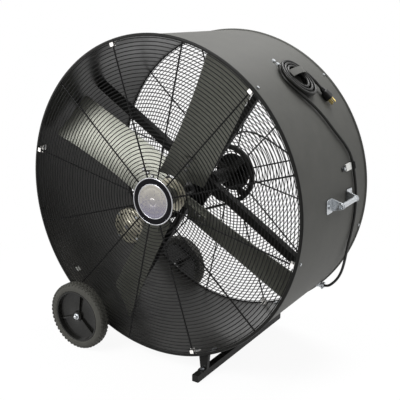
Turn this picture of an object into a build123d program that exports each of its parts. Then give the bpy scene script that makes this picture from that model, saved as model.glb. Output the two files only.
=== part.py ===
"""Belt-drive drum fan on two wheels and a foot bar. Millimetres, +Z up, the fan blows towards -Y."""

import os
from math import acos, asin, atan2, cos, degrees, pi, radians, sin, sqrt, tan

from build123d import *

os.makedirs("parts", exist_ok=True)

# ---------------------------------------------------------------- driving dimensions

# Drum
rim_radius = 560
drum_depth = 540
floor_clearance = 43
bead_height = 5
bead_facets = 4
sheet = 2
lip_width = 7
lip_thickness = 3

# Guards
wire = 4
ring_count = 21
spoke_count = 12
spoke_start_angle = 13
spoke_width = 5
guard_setback = 1
badge_radius = 84
badge_thickness = 4
rear_disc_radius = 76
ring_side_length = 115
least_ring_sides = 12
badge_rise = 4
badge_rim = 6

# Guard clips and their screws
clip_width = 19
clip_thickness = 2.5
clip_drop = 20
clips_per_guard = 6
clip_start_angle = 43
front_clip_screw_depth = 34
rear_clip_screw_depth = 20
clip_margin = 10
screw_diameter = 5
screw_head_diameter = 11
screw_head_height = 3.5
screw_nut_height = 3.5

# Struts
strut_size = 30
strut_wall = 2.5
strut_spacing = 124
strut_depth = 237
strut_angle = 123
cross_strut_size = 22
cross_strut_depth = 287
cross_strut_upper_angle = 34
cross_strut_lower_angle = 213
cross_foot_width = 40
cross_foot_length = 24
cross_foot_thickness = 3
cross_bolt_spacing = 19

# Bearings and shaft
bearing_plate_thickness = 6
bearing_plate_width = 130
bearing_plate_overhang = 12
housing_radius = 28
housing_front_depth = 222
housing_rear_gap = 70
bearing_outer_radius = 23.5
bearing_width = 12
bearing_fit = 0.05
keyed_fit = 0.02
shaft_radius = 12.5
shaft_front_depth = 94
shaft_rear_gap = 28

# Fan wheel
blade_count = 4
blade_angle = 28
blade_tip_clearance = 20
blade_root_radius = 66
blade_pitch = 37
blade_camber_radius = 420
blade_sheet = 2.5
blade_root_chord = 168
blade_chord = 172
blade_waist = 6
blade_flare = 12
blade_corner_radius = 16
hub_depth = 129
hub_boss_radius = 32
hub_boss_length = 56
arm_width = 42
arm_thickness = 6
arm_reach = 158
rivet_radius = 4
rivet_head_radius = 7
rivet_head_height = 3
rivet_positions = (106, 128, 150)

# Belt drive
driven_pulley_radius = 118
drive_pulley_radius = 36
pulley_rear_gap = 35
pulley_width = 17
pulley_sides = 48
belt_width = 12
belt_height = 9
belt_proud = 1.5
pulley_web_thickness = 6
pulley_spoke_width = 26
pulley_rim_thickness = 8
pulley_hub_radius = 26

# Motor
motor_x = -280
motor_z = -192
motor_radius = 74
motor_front_depth = 200
motor_bell_length = 30
motor_shell_length = 125
motor_bell_step = 3
motor_bell_sides = 36
motor_bell_flat = 10
motor_boss_radius = 28
motor_shaft_radius = 8
motor_base_thickness = 5
motor_base_width = 130
motor_base_margin = 8
motor_saddle_thickness = 12
motor_bolt_radius = 3
motor_bolt_head_radius = 5.5
motor_bolt_circle = 62
motor_bolt_inset = 9
terminal_box_width = 64
terminal_box_length = 70
terminal_box_height = 34
terminal_box_wall = 3

# Foot bar and legs
foot_bar_size = 25
foot_bar_angle = 159.13
foot_bar_overhang = 36
foot_bar_wall = 2
end_cap_thickness = 3
leg_depth = 14
leg_sheet = 3
leg_top_width = 43
leg_bottom_width = 26
leg_flange = 12
leg_pad_length = 30
leg_bolt_depth = 31
leg_bolt_aside = 31.6
leg_toe_length = 16

# Wheels
axle_radius = 6
axle_overhang = 83
wheel_radius = 128
wheel_width = 44
wheel_outset = 78
wheel_rim_radius = 98
wheel_web_recess = 20
wheel_web_thickness = 6
wheel_rim_thickness = 5
wheel_hub_radius = 19
wheel_rib_width = 12
wheel_sides = 36
tread_lug_height = 4
tread_lug_count = 20
tread_margin = 2
tread_gap = 2
tyre_shoulder = 8
tyre_shoulder_width = 5
tyre_mouth_flare = 6
wheel_lip_inset = 3
wheel_draft = 2
wheel_rib_angles = (10, 130, 250)
push_nut_radius = 12
push_nut_cap = 2
push_nut_sides = 24
wheel_hub_inset = 6
axle_stand_off = 1
axle_collar_width = 4
axle_collar_radius = 11
axle_bracket_depth = 52
axle_bracket_width = 26
axle_bracket_sheet = 3
axle_bracket_lead = 8
axle_bracket_trail = 20
axle_bolt_turn = 17

# Handle
handle_stand_off = 47
handle_height = 22
handle_front_depth = 226
handle_length = 123
handle_end_radius = 13
grip_overhang = 2
handle_sheet = 4
handle_flange_length = 43
handle_flange_height = 60
grip_radius = 11
grip_wall = 2
handle_bolt_offset = 32

# Bolts
bolt_diameter = 8
bolt_head_across = 13
bolt_head_height = 5.5
nut_plate = 19
nut_plate_height = 4

# Cord and what holds it
cord_diameter = 10
cord_sides = 6
cord_lift = 2.5
clip_angle = 77.8
clip_cord_depth = 411
clip_strap_width = 24
clip_strap_thickness = 1.8
clip_screw_depth = 340
clip_strap_margin = 9
clip_looseness = 1.4
relief_angle = 134
relief_rear_gap = 24
relief_neck_radius = 9
relief_collar_radius = 13
relief_collar_height = 7
relief_nut_height = 5
relief_clamp_width = 24
relief_clamp_depth = 18
relief_clamp_corner = 3
relief_clamp_length = 22
relief_tilt = 45
relief_sides = 12

# Hank of cord and the hook that it hangs on
hank_angle = 43
hank_depth = 292
hank_outer_radius = 70
hank_pitch = 12
hank_lift = 1.8
hank_tilt = 18
hank_layer_step = 11
hank_fan = 5
hank_half_turns = 13
hank_start_run = 26
hank_end_run = 20
hook_offset = 24
hook_stem_width = 28
hook_foot_length = 20
hook_lip_width = 100
hook_lip_reach = 26
hook_lip_height = 25
hook_arch_rise = 12
hook_sheet = 2.5

# Plug
plug_angle = 51.7
plug_depth = 400
plug_tilt = 18
plug_length = 32
plug_width = 34
plug_height = 26
plug_neck_length = 14
plug_neck_radius = 10.5
plug_corner = 5
plug_sides = 12
plug_tip_radius = 6
plug_blade_length = 18
plug_blade_width = 7
plug_blade_thickness = 1.6
plug_blade_spacing = 13
plug_pin_radius = 2.4
plug_pin_offset = 8

# Lead from the strain relief to the motor, inside the drum
lead_diameter = 6
terminal_box_angle = 20

# Clearances
hole_clearance = 0.3
seat = 0.1
running = 0.3

# ---------------------------------------------------------------- worked-out places

shell_radius = rim_radius - bead_height
inner_radius = shell_radius - sheet
outer_seat_radius = shell_radius + seat
axis_height = rim_radius + floor_clearance
front_y = -drum_depth / 2
handle_reach = rim_radius + handle_stand_off
foot_bar_x = rim_radius * sin(radians(foot_bar_angle))
fan_x = (rim_radius - handle_reach) / 2
rear_depth = drum_depth
blade_tip_radius = inner_radius - blade_tip_clearance
pulley_depth = rear_depth - pulley_rear_gap - pulley_width
shaft_rear_depth = rear_depth - shaft_rear_gap
housing_length = rear_depth - housing_rear_gap - housing_front_depth
relief_depth = rear_depth - relief_rear_gap
fan_axis = Axis((fan_x, 0, axis_height), (0, 1, 0))


def depth_plane(depth, x=0, z=0):
    """Plane across the drum, `depth` behind its front rim: x right, y up, normal to the front."""
    origin = (fan_x + x, front_y + depth, axis_height + z)
    return Plane(origin=origin, x_dir=(1, 0, 0), z_dir=(0, -1, 0))


def clock(angle, radius=1.0):
    """(x, z) from the fan axis at `angle` degrees clockwise from the top, seen from the front."""
    return radius * sin(radians(angle)), radius * cos(radians(angle))


def wall_plane(angle, depth, radius, turn=0):
    """Plane tangent to the drum: x clockwise, turned to the rear by `turn`, normal outwards."""
    x, z = clock(angle, radius)
    along = clock(angle + 90, cos(radians(turn)))
    outward = clock(angle)
    return Plane(
        origin=(fan_x + x, front_y + depth, axis_height + z),
        x_dir=(along[0], sin(radians(turn)), along[1]),
        z_dir=(outward[0], 0, outward[1]),
    )


def axial_plane(x=0, z=0):
    """Plane through an axis parallel to the fan's: x to the rear from the front rim, y up."""
    return Plane(origin=(fan_x + x, front_y, axis_height + z), x_dir=(0, 1, 0), z_dir=(1, 0, 0))


def parallel_axis(x=0, z=0):
    """Axis along +Y through the point (x, z) from the fan axis."""
    return Axis((fan_x + x, 0, axis_height + z), (0, 1, 0))


def save(part, name):
    """Label a finished piece and write it out."""
    part.label = name
    export_step(part, f"parts/{name}.step")


def turned(points, x=0, z=0):
    """Solid of revolution about an axis along Y, from (depth, radius) corners."""
    with BuildPart() as body:
        with BuildSketch(axial_plane(x, z)):
            with BuildLine():
                Polyline(*points, close=True)
            make_face()
        revolve(axis=parallel_axis(x, z))
    return body.part


def stacked(points, sides, x=0, z=0):
    """Solid of polygon sections along an axis along Y, from (depth, corner radius) pairs in order."""
    with BuildPart() as body:
        for (depth, radius), (next_depth, next_radius) in zip(points, points[1:]):
            if next_depth == depth:
                continue
            with BuildSketch(depth_plane(depth, x, z)):
                RegularPolygon(radius, sides)
            if next_radius == radius:
                extrude(amount=depth - next_depth)
            else:
                with BuildSketch(depth_plane(next_depth, x, z)):
                    RegularPolygon(next_radius, sides)
                loft()
    return body.part


# ---------------------------------------------------------------- fastener places

clip_angles = [clip_start_angle + 360 / clips_per_guard * i for i in range(clips_per_guard)]
guard_screw_places = [(a, front_clip_screw_depth) for a in clip_angles]
guard_screw_places += [(a, rear_depth - rear_clip_screw_depth) for a in clip_angles]

handle_angle = degrees(atan2(shell_radius, handle_height))
handle_rear_depth = handle_front_depth + handle_length
handle_bolt_depths = (handle_front_depth - handle_bolt_offset, handle_rear_depth + handle_bolt_offset)
handle_bolt_places = [(handle_angle, depth) for depth in handle_bolt_depths]

leg_bolt_angle = 180 - degrees(asin((foot_bar_x + leg_bolt_aside) / outer_seat_radius))
leg_bolt_places = [(leg_bolt_angle, leg_bolt_depth), (leg_bolt_angle, rear_depth - leg_bolt_depth)]

axle_distance = rim_radius + axle_radius + axle_stand_off
axle_angle = 180 + degrees(acos((axis_height - wheel_radius) / axle_distance))
axle_bolt_angle = axle_angle + axle_bolt_turn
axle_bolt_depth = axle_bracket_depth + axle_bracket_width / 2
axle_bolt_places = [(axle_bolt_angle, axle_bolt_depth), (axle_bolt_angle, rear_depth - axle_bolt_depth)]

cross_bolt_depth = cross_strut_depth - cross_foot_length / 2 + 2
cross_bolt_turn = degrees(cross_bolt_spacing / 2 / shell_radius)
cross_bolt_places = [
    (angle + side * cross_bolt_turn, cross_bolt_depth)
    for angle in (cross_strut_upper_angle, cross_strut_lower_angle)
    for side in (-1, 1)
]
bolt_places = handle_bolt_places + leg_bolt_places + axle_bolt_places + cross_bolt_places

# ---------------------------------------------------------------- drum shell

bead_turns = [radians(180 / bead_facets * i) for i in range(bead_facets + 1)]
bead = [(bead_height * (1 - cos(turn)), shell_radius + bead_height * sin(turn)) for turn in bead_turns]
half_wall = bead[::-1] + [
    (0, shell_radius - lip_width),
    (lip_thickness, shell_radius - lip_width),
    (lip_thickness, inner_radius),
]
far_half_wall = [(drum_depth - depth, radius) for depth, radius in half_wall[::-1]]
with BuildPart() as drum_shell:
    with BuildSketch(axial_plane()):
        with BuildLine():
            Polyline(*half_wall, *far_half_wall, close=True)
        make_face()
    revolve(axis=fan_axis)
    for angle, depth in guard_screw_places:
        with BuildSketch(wall_plane(angle, depth, shell_radius)):
            RegularPolygon(screw_diameter / 2 + hole_clearance, 6)
        extrude(amount=-2 * sheet, mode=Mode.SUBTRACT)
    for angle, depth in bolt_places:
        with BuildSketch(wall_plane(angle, depth, shell_radius)):
            RegularPolygon(bolt_diameter / 2 + hole_clearance, 6)
        extrude(amount=-2 * sheet, mode=Mode.SUBTRACT)
    with BuildSketch(wall_plane(clip_angle, clip_screw_depth, shell_radius)):
        RegularPolygon(screw_diameter / 2 + hole_clearance, 6)
    extrude(amount=-2 * sheet, mode=Mode.SUBTRACT)
    with BuildSketch(wall_plane(relief_angle, relief_depth, shell_radius)):
        RegularPolygon(relief_neck_radius + hole_clearance, relief_sides)
    extrude(amount=-2 * sheet, mode=Mode.SUBTRACT)
save(drum_shell.part, "drum_shell")

# ---------------------------------------------------------------- guards

guard_outer_radius = shell_radius - lip_width - running
spoke_outer_radius = inner_radius - seat


def guard(hub_radius, from_rear=False):
    """One guard: flat rings of wire welded to the front of straight spokes that run to the wall."""
    way = -1 if from_rear else 1
    face_depth = rear_depth - guard_setback if from_rear else guard_setback
    first = (hub_radius + seat + wire) / cos(pi / least_ring_sides)
    pitch = (guard_outer_radius - first) / (ring_count - 1)
    with BuildPart() as rings:
        for i in range(ring_count):
            corner = first + i * pitch
            sides = max(least_ring_sides, round(2 * pi * corner / ring_side_length))
            with BuildSketch(depth_plane(face_depth)):
                RegularPolygon(corner, sides)
                RegularPolygon(corner - wire / cos(pi / sides), sides, mode=Mode.SUBTRACT)
            extrude(amount=-way * wire)
    with BuildPart() as spokes:
        with BuildSketch(depth_plane(face_depth + way * wire)):
            for i in range(spoke_count):
                angle = spoke_start_angle + 360 / spoke_count * i
                middle = (hub_radius - 30 + spoke_outer_radius) / 2
                with Locations(clock(angle, middle)):
                    Rectangle(spoke_width, spoke_outer_radius - hub_radius + 30, rotation=-angle)
        extrude(amount=-way * spoke_width)
    return Compound(children=[*rings.part.solids(), *spokes.part.solids()])


save(guard(badge_radius), "front_guard")
save(guard(rear_disc_radius, from_rear=True), "rear_guard")

spoke_front = guard_setback + wire
spoke_back = spoke_front + spoke_width

# The badge is a shallow dome inside a raised rim, seated on the spokes within the first ring.
badge_face = spoke_front - badge_thickness
dome_half = badge_radius - badge_rim
dome_radius = (dome_half**2 + badge_rise**2) / (2 * badge_rise)
dome_foot = badge_face + badge_rise / 2
dome_top = dome_foot - badge_rise
dome_middle = dome_top + dome_radius - sqrt(dome_radius**2 - dome_half**2 / 4)
badge_points = [
    (dome_top, 0),
    (spoke_front, 0),
    (spoke_front, badge_radius),
    (badge_face, badge_radius),
    (badge_face, badge_radius - badge_rim / 2),
    (dome_foot, dome_half),
    (dome_middle, dome_half / 2),
]
save(turned(badge_points), "guard_badge")

rear_spoke_back = rear_depth - guard_setback - wire
rear_disc_points = [
    (rear_spoke_back, 0),
    (rear_depth - guard_setback, 0),
    (rear_depth - guard_setback, rear_disc_radius - 3),
    (rear_spoke_back, rear_disc_radius - seat),
]
save(turned(rear_disc_points), "rear_guard_disc")

# ---------------------------------------------------------------- guard clips and screws

clip_outer = inner_radius - seat


def guard_clip(angle, from_rear):
    """Zinc angle behind a spoke: a tab down the spoke's back and a base along the wall."""
    way = -1 if from_rear else 1
    start = rear_depth - spoke_back if from_rear else spoke_back
    screw = rear_clip_screw_depth if from_rear else front_clip_screw_depth
    length = screw + clip_margin - spoke_back
    base = wall_plane(angle, start, clip_outer)
    with BuildPart() as clip:
        with BuildSketch(base):
            with Locations((0, way * length / 2)):
                Rectangle(clip_width, length)
            with Locations((0, way * (screw - spoke_back))):
                RegularPolygon(screw_diameter / 2 + hole_clearance, 6, mode=Mode.SUBTRACT)
        extrude(amount=-clip_thickness)
        with BuildSketch(base):
            with Locations((0, way * clip_thickness / 2)):
                Rectangle(clip_width, clip_thickness)
        extrude(amount=-clip_drop)
    return clip.part


clips = [guard_clip(angle, rear) for rear in (False, True) for angle in clip_angles]
save(Compound(children=clips), "guard_clips")


def fastener(place, head, shank, nut, across=0):
    """Head outside the wall, shank through it and nut inside: (radius, height) of head and shank."""
    head_radius, head_height = head
    shank_radius, grip = shank
    with BuildPart() as body:
        with BuildSketch(place):
            RegularPolygon(head_radius, 6)
        extrude(amount=head_height)
        with BuildSketch(place):
            RegularPolygon(shank_radius, 6)
        extrude(amount=-(grip + nut))
        with BuildSketch(place.offset(-grip)):
            if across:
                Rectangle(across, across)
            else:
                RegularPolygon(head_radius, 6)
        extrude(amount=-nut)
    return body.part


clip_grip = shell_radius - (clip_outer - clip_thickness)
guard_screws = [
    fastener(
        wall_plane(angle, depth, shell_radius),
        (screw_head_diameter / 2, screw_head_height),
        (screw_diameter / 2, clip_grip),
        screw_nut_height,
    )
    for angle, depth in guard_screw_places
]
save(Compound(children=guard_screws), "guard_screws")

# ---------------------------------------------------------------- struts

strut_half_spacing = strut_spacing / 2
cross_direction = strut_angle - 90
reach_inside = inner_radius - seat


def strut(side):
    """Square tube across the drum, parallel to a diameter and cut to the curve of the wall."""
    across = clock(cross_direction, side * strut_half_spacing)
    with BuildPart() as bar:
        with BuildSketch(depth_plane(strut_depth)):
            with Locations(across):
                Rectangle(2 * rim_radius, strut_size, rotation=90 - strut_angle)
        extrude(amount=-strut_size)
        with BuildSketch(depth_plane(strut_depth + strut_wall)):
            with Locations(across):
                Rectangle(2 * rim_radius, strut_size - 2 * strut_wall, rotation=90 - strut_angle)
        extrude(amount=-(strut_size - 2 * strut_wall), mode=Mode.SUBTRACT)
        with BuildSketch(depth_plane(strut_depth)):
            Circle(reach_inside)
        extrude(amount=-strut_size, mode=Mode.INTERSECT)
    return bar.part


save(strut(1), "strut_upper")
save(strut(-1), "strut_lower")


cross_bolt_x = (-cross_bolt_spacing / 2, cross_bolt_spacing / 2)
foot_outer = sqrt(reach_inside**2 - (cross_foot_width / 2) ** 2)
foot_inner = foot_outer - cross_foot_thickness


def cross_strut(angle):
    """Square tube from the bearing housing out to a foot that is bolted through the wall."""
    inner_end = housing_radius + seat
    outer_end = foot_inner
    length = outer_end - inner_end
    cross_end_depth = cross_strut_depth + cross_strut_size
    with BuildPart() as bar:
        with BuildSketch(depth_plane(cross_strut_depth)):
            with Locations(clock(angle, (inner_end + outer_end) / 2 - 1)):
                Rectangle(cross_strut_size, length + 2, rotation=-angle)
            Circle(inner_end, mode=Mode.SUBTRACT)
        extrude(amount=-cross_strut_size)
        with BuildSketch(depth_plane(cross_strut_depth + strut_wall)):
            with Locations(clock(angle, (inner_end + outer_end) / 2)):
                Rectangle(cross_strut_size - 2 * strut_wall, length - 4 * strut_wall, rotation=-angle)
        extrude(amount=-(cross_strut_size - 2 * strut_wall), mode=Mode.SUBTRACT)
        foot_start = cross_strut_depth - cross_foot_length
        with BuildSketch(wall_plane(angle, (foot_start + cross_end_depth) / 2, outer_end)):
            Rectangle(cross_foot_width, cross_end_depth - foot_start)
            bolt_row = cross_bolt_depth - (foot_start + cross_end_depth) / 2
            with Locations(*[(x, bolt_row) for x in cross_bolt_x]):
                RegularPolygon(bolt_diameter / 2 + hole_clearance, 6, mode=Mode.SUBTRACT)
        extrude(amount=cross_foot_thickness)
    return bar.part


save(cross_strut(cross_strut_upper_angle), "cross_strut_upper")
save(cross_strut(cross_strut_lower_angle), "cross_strut_lower")


def bolt(angle, depth, outer_seat, inner_seat, across=0):
    """Hex bolt through the wall between two seats, given by their distances from the fan axis."""
    return fastener(
        wall_plane(angle, depth, outer_seat),
        (bolt_head_across / sqrt(3), bolt_head_height),
        (bolt_diameter / 2, outer_seat - inner_seat),
        nut_plate_height,
        across,
    )


cross_bolts = [bolt(angle, depth, shell_radius, foot_inner - seat) for angle, depth in cross_bolt_places]
save(Compound(children=cross_bolts), "cross_strut_bolts")

# ---------------------------------------------------------------- bearings

plate_depth = strut_depth + strut_size
plate_length = strut_spacing + strut_size + 2 * bearing_plate_overhang
with BuildPart() as bearing_plate:
    with BuildSketch(depth_plane(plate_depth)):
        Rectangle(bearing_plate_width, plate_length, rotation=-cross_direction)
        Circle(housing_radius + seat, mode=Mode.SUBTRACT)
    extrude(amount=-bearing_plate_thickness)
save(bearing_plate.part, "bearing_plate")

housing_end_depth = housing_front_depth + housing_length
bearing_seat = bearing_outer_radius + seat
housing_bore = bearing_outer_radius - 2.5
housing_points = [
    (housing_front_depth, bearing_seat),
    (housing_front_depth, housing_radius),
    (housing_end_depth, housing_radius),
    (housing_end_depth, bearing_seat),
    (housing_end_depth - bearing_width, bearing_seat),
    (housing_end_depth - bearing_width, housing_bore),
    (housing_front_depth + bearing_width, housing_bore),
    (housing_front_depth + bearing_width, bearing_seat),
]
save(turned(housing_points), "bearing_housing")


def bearing(depth):
    """Sealed ball bearing, drawn as one ring."""
    bore = shaft_radius + bearing_fit
    corners = [(depth, bore), (depth, bearing_outer_radius)]
    return turned(corners + [(depth + bearing_width, radius) for _, radius in reversed(corners)])


save(bearing(housing_front_depth), "front_bearing")
save(bearing(housing_end_depth - bearing_width), "rear_bearing")

# ---------------------------------------------------------------- fan wheel

shaft_points = [
    (shaft_front_depth, 0),
    (shaft_front_depth, shaft_radius - 1.5),
    (shaft_front_depth + 1.5, shaft_radius),
    (shaft_rear_depth - 1.5, shaft_radius),
    (shaft_rear_depth, shaft_radius - 1.5),
    (shaft_rear_depth, 0),
]
save(turned(shaft_points), "fan_shaft")

blade_angles = [blade_angle + 360 / blade_count * i for i in range(blade_count)]


def blade_frame(angle, radius):
    """Plane square to a blade's length: x along its chord to the rear edge, y to its back."""
    outward = clock(angle)
    along = clock(angle + 90, cos(radians(blade_pitch)))
    origin = (fan_x + radius * outward[0], front_y + hub_depth, axis_height + radius * outward[1])
    x_dir = (along[0], sin(radians(blade_pitch)), along[1])
    return Plane(origin=origin, x_dir=x_dir, z_dir=(outward[0], 0, outward[1]))


def chord_plane(angle):
    """Plane that a blade's outline is drawn on: x along the chord, y outwards."""
    section = blade_frame(angle, 0)
    return Plane(origin=section.origin, x_dir=section.x_dir, z_dir=-section.y_dir)


def blade(angle):
    """Cambered sheet paddle: an arc section run out along the blade, cut to the paddle's outline."""
    half = blade_chord / 2
    front = -half - blade_flare
    spread = asin((half + blade_flare + 6) / blade_camber_radius)
    with BuildPart() as paddle:
        with BuildSketch(blade_frame(angle, blade_root_radius)):
            with BuildLine():
                inner = [
                    (blade_camber_radius * sin(t), blade_camber_radius * (cos(t) - 1))
                    for t in (-spread, 0, spread)
                ]
                thick = blade_camber_radius + blade_sheet
                outer = [(thick * sin(t), thick * cos(t) - blade_camber_radius) for t in (spread, 0, -spread)]
                ThreePointArc(*inner)
                Line(inner[2], outer[0])
                ThreePointArc(*outer)
                Line(outer[2], inner[0])
            make_face()
        extrude(amount=blade_tip_radius - blade_root_radius)
        with BuildSketch(chord_plane(angle).offset(-blade_camber_radius / 4)):
            with BuildLine():
                tip = blade_tip_radius
                corner = tip - blade_corner_radius
                drop = tip - sqrt(tip**2 - (half * cos(radians(blade_pitch))) ** 2)
                ThreePointArc(
                    (-blade_root_chord / 2, blade_root_radius),
                    (-half + blade_waist, (blade_root_radius + corner) / 2),
                    (front, corner),
                )
                RadiusArc((front, corner), (front + blade_corner_radius, tip - drop), blade_corner_radius)
                ThreePointArc(
                    (front + blade_corner_radius, tip - drop), (0, tip), (half - blade_corner_radius, tip - drop)
                )
                RadiusArc((half - blade_corner_radius, tip - drop), (half, corner), blade_corner_radius)
                Polyline(
                    (half, corner),
                    (blade_root_chord / 2, blade_root_radius),
                    (-blade_root_chord / 2, blade_root_radius),
                )
            make_face()
        extrude(amount=blade_camber_radius / 2, mode=Mode.INTERSECT)
        with BuildSketch(chord_plane(angle).offset(-blade_camber_radius / 4)):
            with Locations(*[(0, r) for r in rivet_positions]):
                RegularPolygon(rivet_radius + hole_clearance, 6)
        extrude(amount=blade_camber_radius / 2, mode=Mode.SUBTRACT)
    return paddle.part


for number, angle in enumerate(blade_angles, 1):
    save(blade(angle), f"blade_{number}")

arm_camber = blade_camber_radius - sqrt(blade_camber_radius**2 - (arm_width / 2) ** 2)
arm_back = -arm_camber - seat
with BuildPart() as fan_hub:
    with BuildSketch(depth_plane(hub_depth - hub_boss_length / 2)):
        Circle(hub_boss_radius)
    extrude(amount=-hub_boss_length)
    for angle in blade_angles:
        with BuildSketch(blade_frame(angle, 0)):
            with Locations((0, arm_back - arm_thickness / 2)):
                Rectangle(arm_width, arm_thickness)
        extrude(amount=arm_reach)
    with BuildSketch(depth_plane(0)):
        Circle(shaft_radius + keyed_fit)
    extrude(amount=-rear_depth, mode=Mode.SUBTRACT)
    for angle in blade_angles:
        with BuildSketch(chord_plane(angle).offset(-blade_camber_radius / 4)):
            with Locations(*[(0, r) for r in rivet_positions]):
                RegularPolygon(rivet_radius + hole_clearance, 6)
        extrude(amount=blade_camber_radius / 2, mode=Mode.SUBTRACT)
save(fan_hub.part, "fan_hub")


def rivet(angle, radius):
    """Rivet through an arm and a blade, with a flat head on each side."""
    back = chord_plane(angle).offset(-blade_sheet - seat)
    front = chord_plane(angle).offset(-arm_back + arm_thickness + seat)
    with BuildPart() as pin:
        with BuildSketch(back):
            with Locations((0, radius)):
                RegularPolygon(rivet_radius, 6)
        extrude(amount=blade_sheet + arm_thickness - arm_back + 2 * seat)
        with BuildSketch(back):
            with Locations((0, radius)):
                RegularPolygon(rivet_head_radius, 6)
        extrude(amount=-rivet_head_height)
        with BuildSketch(front):
            with Locations((0, radius)):
                RegularPolygon(rivet_head_radius, 6)
        extrude(amount=rivet_head_height)
    return pin.part


rivets = [rivet(angle, radius) for angle in blade_angles for radius in rivet_positions]
save(Compound(children=rivets), "blade_rivets")

# ---------------------------------------------------------------- belt drive

belt_centre_depth = pulley_depth + pulley_width / 2
groove_half = belt_width / 2 + running


def pulley(radius, bore, x=0, z=0, spokes=0):
    """Single-groove pulley, solid when small and with spokes when large."""
    start = pulley_depth
    end = pulley_depth + pulley_width
    floor = radius - belt_height + belt_proud - running
    groove_start = belt_centre_depth - groove_half
    groove_end = belt_centre_depth + groove_half
    rim = [(start, radius), (groove_start, radius), (groove_start, floor)]
    rim += [(groove_end, floor), (groove_end, radius), (end, radius)]
    with BuildPart() as wheel:
        add(stacked(rim, pulley_sides, x, z))
        with BuildSketch(depth_plane(start, x, z)):
            Circle(bore)
        extrude(amount=-pulley_width, mode=Mode.SUBTRACT)
        if spokes:
            inner = floor - pulley_rim_thickness
            side = (pulley_width - pulley_web_thickness) / 2
            for face in (start, end - side):
                with BuildSketch(depth_plane(face, x, z)):
                    RegularPolygon(inner, pulley_sides)
                    RegularPolygon(pulley_hub_radius, pulley_sides // 2, mode=Mode.SUBTRACT)
                extrude(amount=-side, mode=Mode.SUBTRACT)
            with BuildSketch(depth_plane(start, x, z)):
                RegularPolygon(inner, pulley_sides)
                RegularPolygon(pulley_hub_radius, pulley_sides // 2, mode=Mode.SUBTRACT)
                for i in range(spokes):
                    with Locations(Rotation(0, 0, 45 + 360 / spokes * i)):
                        with Locations((inner / 2, 0)):
                            Rectangle(inner, pulley_spoke_width, mode=Mode.SUBTRACT)
            extrude(amount=-pulley_width, mode=Mode.SUBTRACT)
    return wheel.part


save(pulley(driven_pulley_radius, shaft_radius + keyed_fit, spokes=4), "driven_pulley")
save(pulley(drive_pulley_radius, motor_shaft_radius + keyed_fit, motor_x, motor_z), "drive_pulley")

belt_inner_driven = driven_pulley_radius - belt_height + belt_proud
belt_inner_drive = drive_pulley_radius - belt_height + belt_proud
with BuildPart() as drive_belt:
    with BuildSketch(depth_plane(belt_centre_depth - belt_width / 2)):
        Circle(belt_inner_driven + belt_height)
        with Locations((motor_x, motor_z)):
            Circle(belt_inner_drive + belt_height)
        make_hull()
    extrude(amount=-belt_width)
    with BuildSketch(depth_plane(belt_centre_depth - belt_width / 2)):
        Circle(belt_inner_driven)
        with Locations((motor_x, motor_z)):
            Circle(belt_inner_drive)
        make_hull()
    extrude(amount=-belt_width, mode=Mode.SUBTRACT)
save(drive_belt.part, "drive_belt")

# ---------------------------------------------------------------- motor

shell_start = motor_front_depth + motor_bell_length
shell_end = shell_start + motor_shell_length
motor_end = shell_end + motor_bell_length
motor_bore = motor_shaft_radius + bearing_fit

motor_bolt_aside = motor_bolt_circle / sqrt(2)
bolt_places_on_motor = [
    (motor_x + side * motor_bolt_aside, motor_z + up * motor_bolt_aside) for side in (-1, 1) for up in (-1, 1)
]


def motor_bell(face, joint):
    """Cast end bell, stepped and drawn in towards its boss, with four bolt holes."""
    way = 1 if joint > face else -1
    flat = face + way * motor_bolt_inset
    profile = [
        (face, motor_boss_radius),
        (flat, motor_bolt_circle - motor_bell_flat),
        (flat, motor_bolt_circle + motor_bell_flat * 2 / 3),
        (flat + way * motor_bell_flat * 2 / 3, motor_radius - motor_bell_step),
        (joint, motor_radius - motor_bell_step),
    ]
    with BuildPart() as bell:
        add(stacked(profile, motor_bell_sides, motor_x, motor_z))
        with BuildSketch(depth_plane(0)):
            with Locations((motor_x, motor_z)):
                Circle(motor_bore)
            with Locations(*bolt_places_on_motor):
                RegularPolygon(motor_bolt_radius + hole_clearance, 6)
        extrude(amount=-rear_depth, mode=Mode.SUBTRACT)
    return bell.part


with BuildPart() as motor_shell:
    with BuildSketch(depth_plane(shell_start, motor_x, motor_z)):
        Circle(motor_radius)
        Circle(motor_bore, mode=Mode.SUBTRACT)
    extrude(amount=-motor_shell_length)
    with BuildSketch(depth_plane(0)):
        with Locations(*bolt_places_on_motor):
            RegularPolygon(motor_bolt_radius + hole_clearance, 6)
    extrude(amount=-rear_depth, mode=Mode.SUBTRACT)
save(motor_shell.part, "motor_shell")
save(motor_bell(motor_front_depth, shell_start), "motor_front_bell")
save(motor_bell(motor_end, shell_end), "motor_rear_bell")

motor_shaft_points = [
    (motor_front_depth - 4, 0),
    (motor_front_depth - 4, motor_shaft_radius),
    (pulley_depth + pulley_width + 4, motor_shaft_radius),
    (pulley_depth + pulley_width + 4, 0),
]
save(turned(motor_shaft_points, motor_x, motor_z), "motor_shaft")

motor_bolts = []
for x, z in bolt_places_on_motor:
    with BuildPart() as through_bolt:
        with BuildSketch(depth_plane(motor_front_depth + motor_bolt_inset, x, z)):
            RegularPolygon(motor_bolt_radius, 6)
        extrude(amount=-(motor_end - motor_front_depth - 2 * motor_bolt_inset))
        with BuildSketch(depth_plane(motor_front_depth + motor_bolt_inset, x, z)):
            RegularPolygon(motor_bolt_head_radius, 6)
        extrude(amount=4)
        with BuildSketch(depth_plane(motor_end - motor_bolt_inset, x, z)):
            RegularPolygon(motor_bolt_head_radius, 6)
        extrude(amount=-4)
    motor_bolts.append(through_bolt.part)
save(Compound(children=motor_bolts), "motor_bolts")

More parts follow.
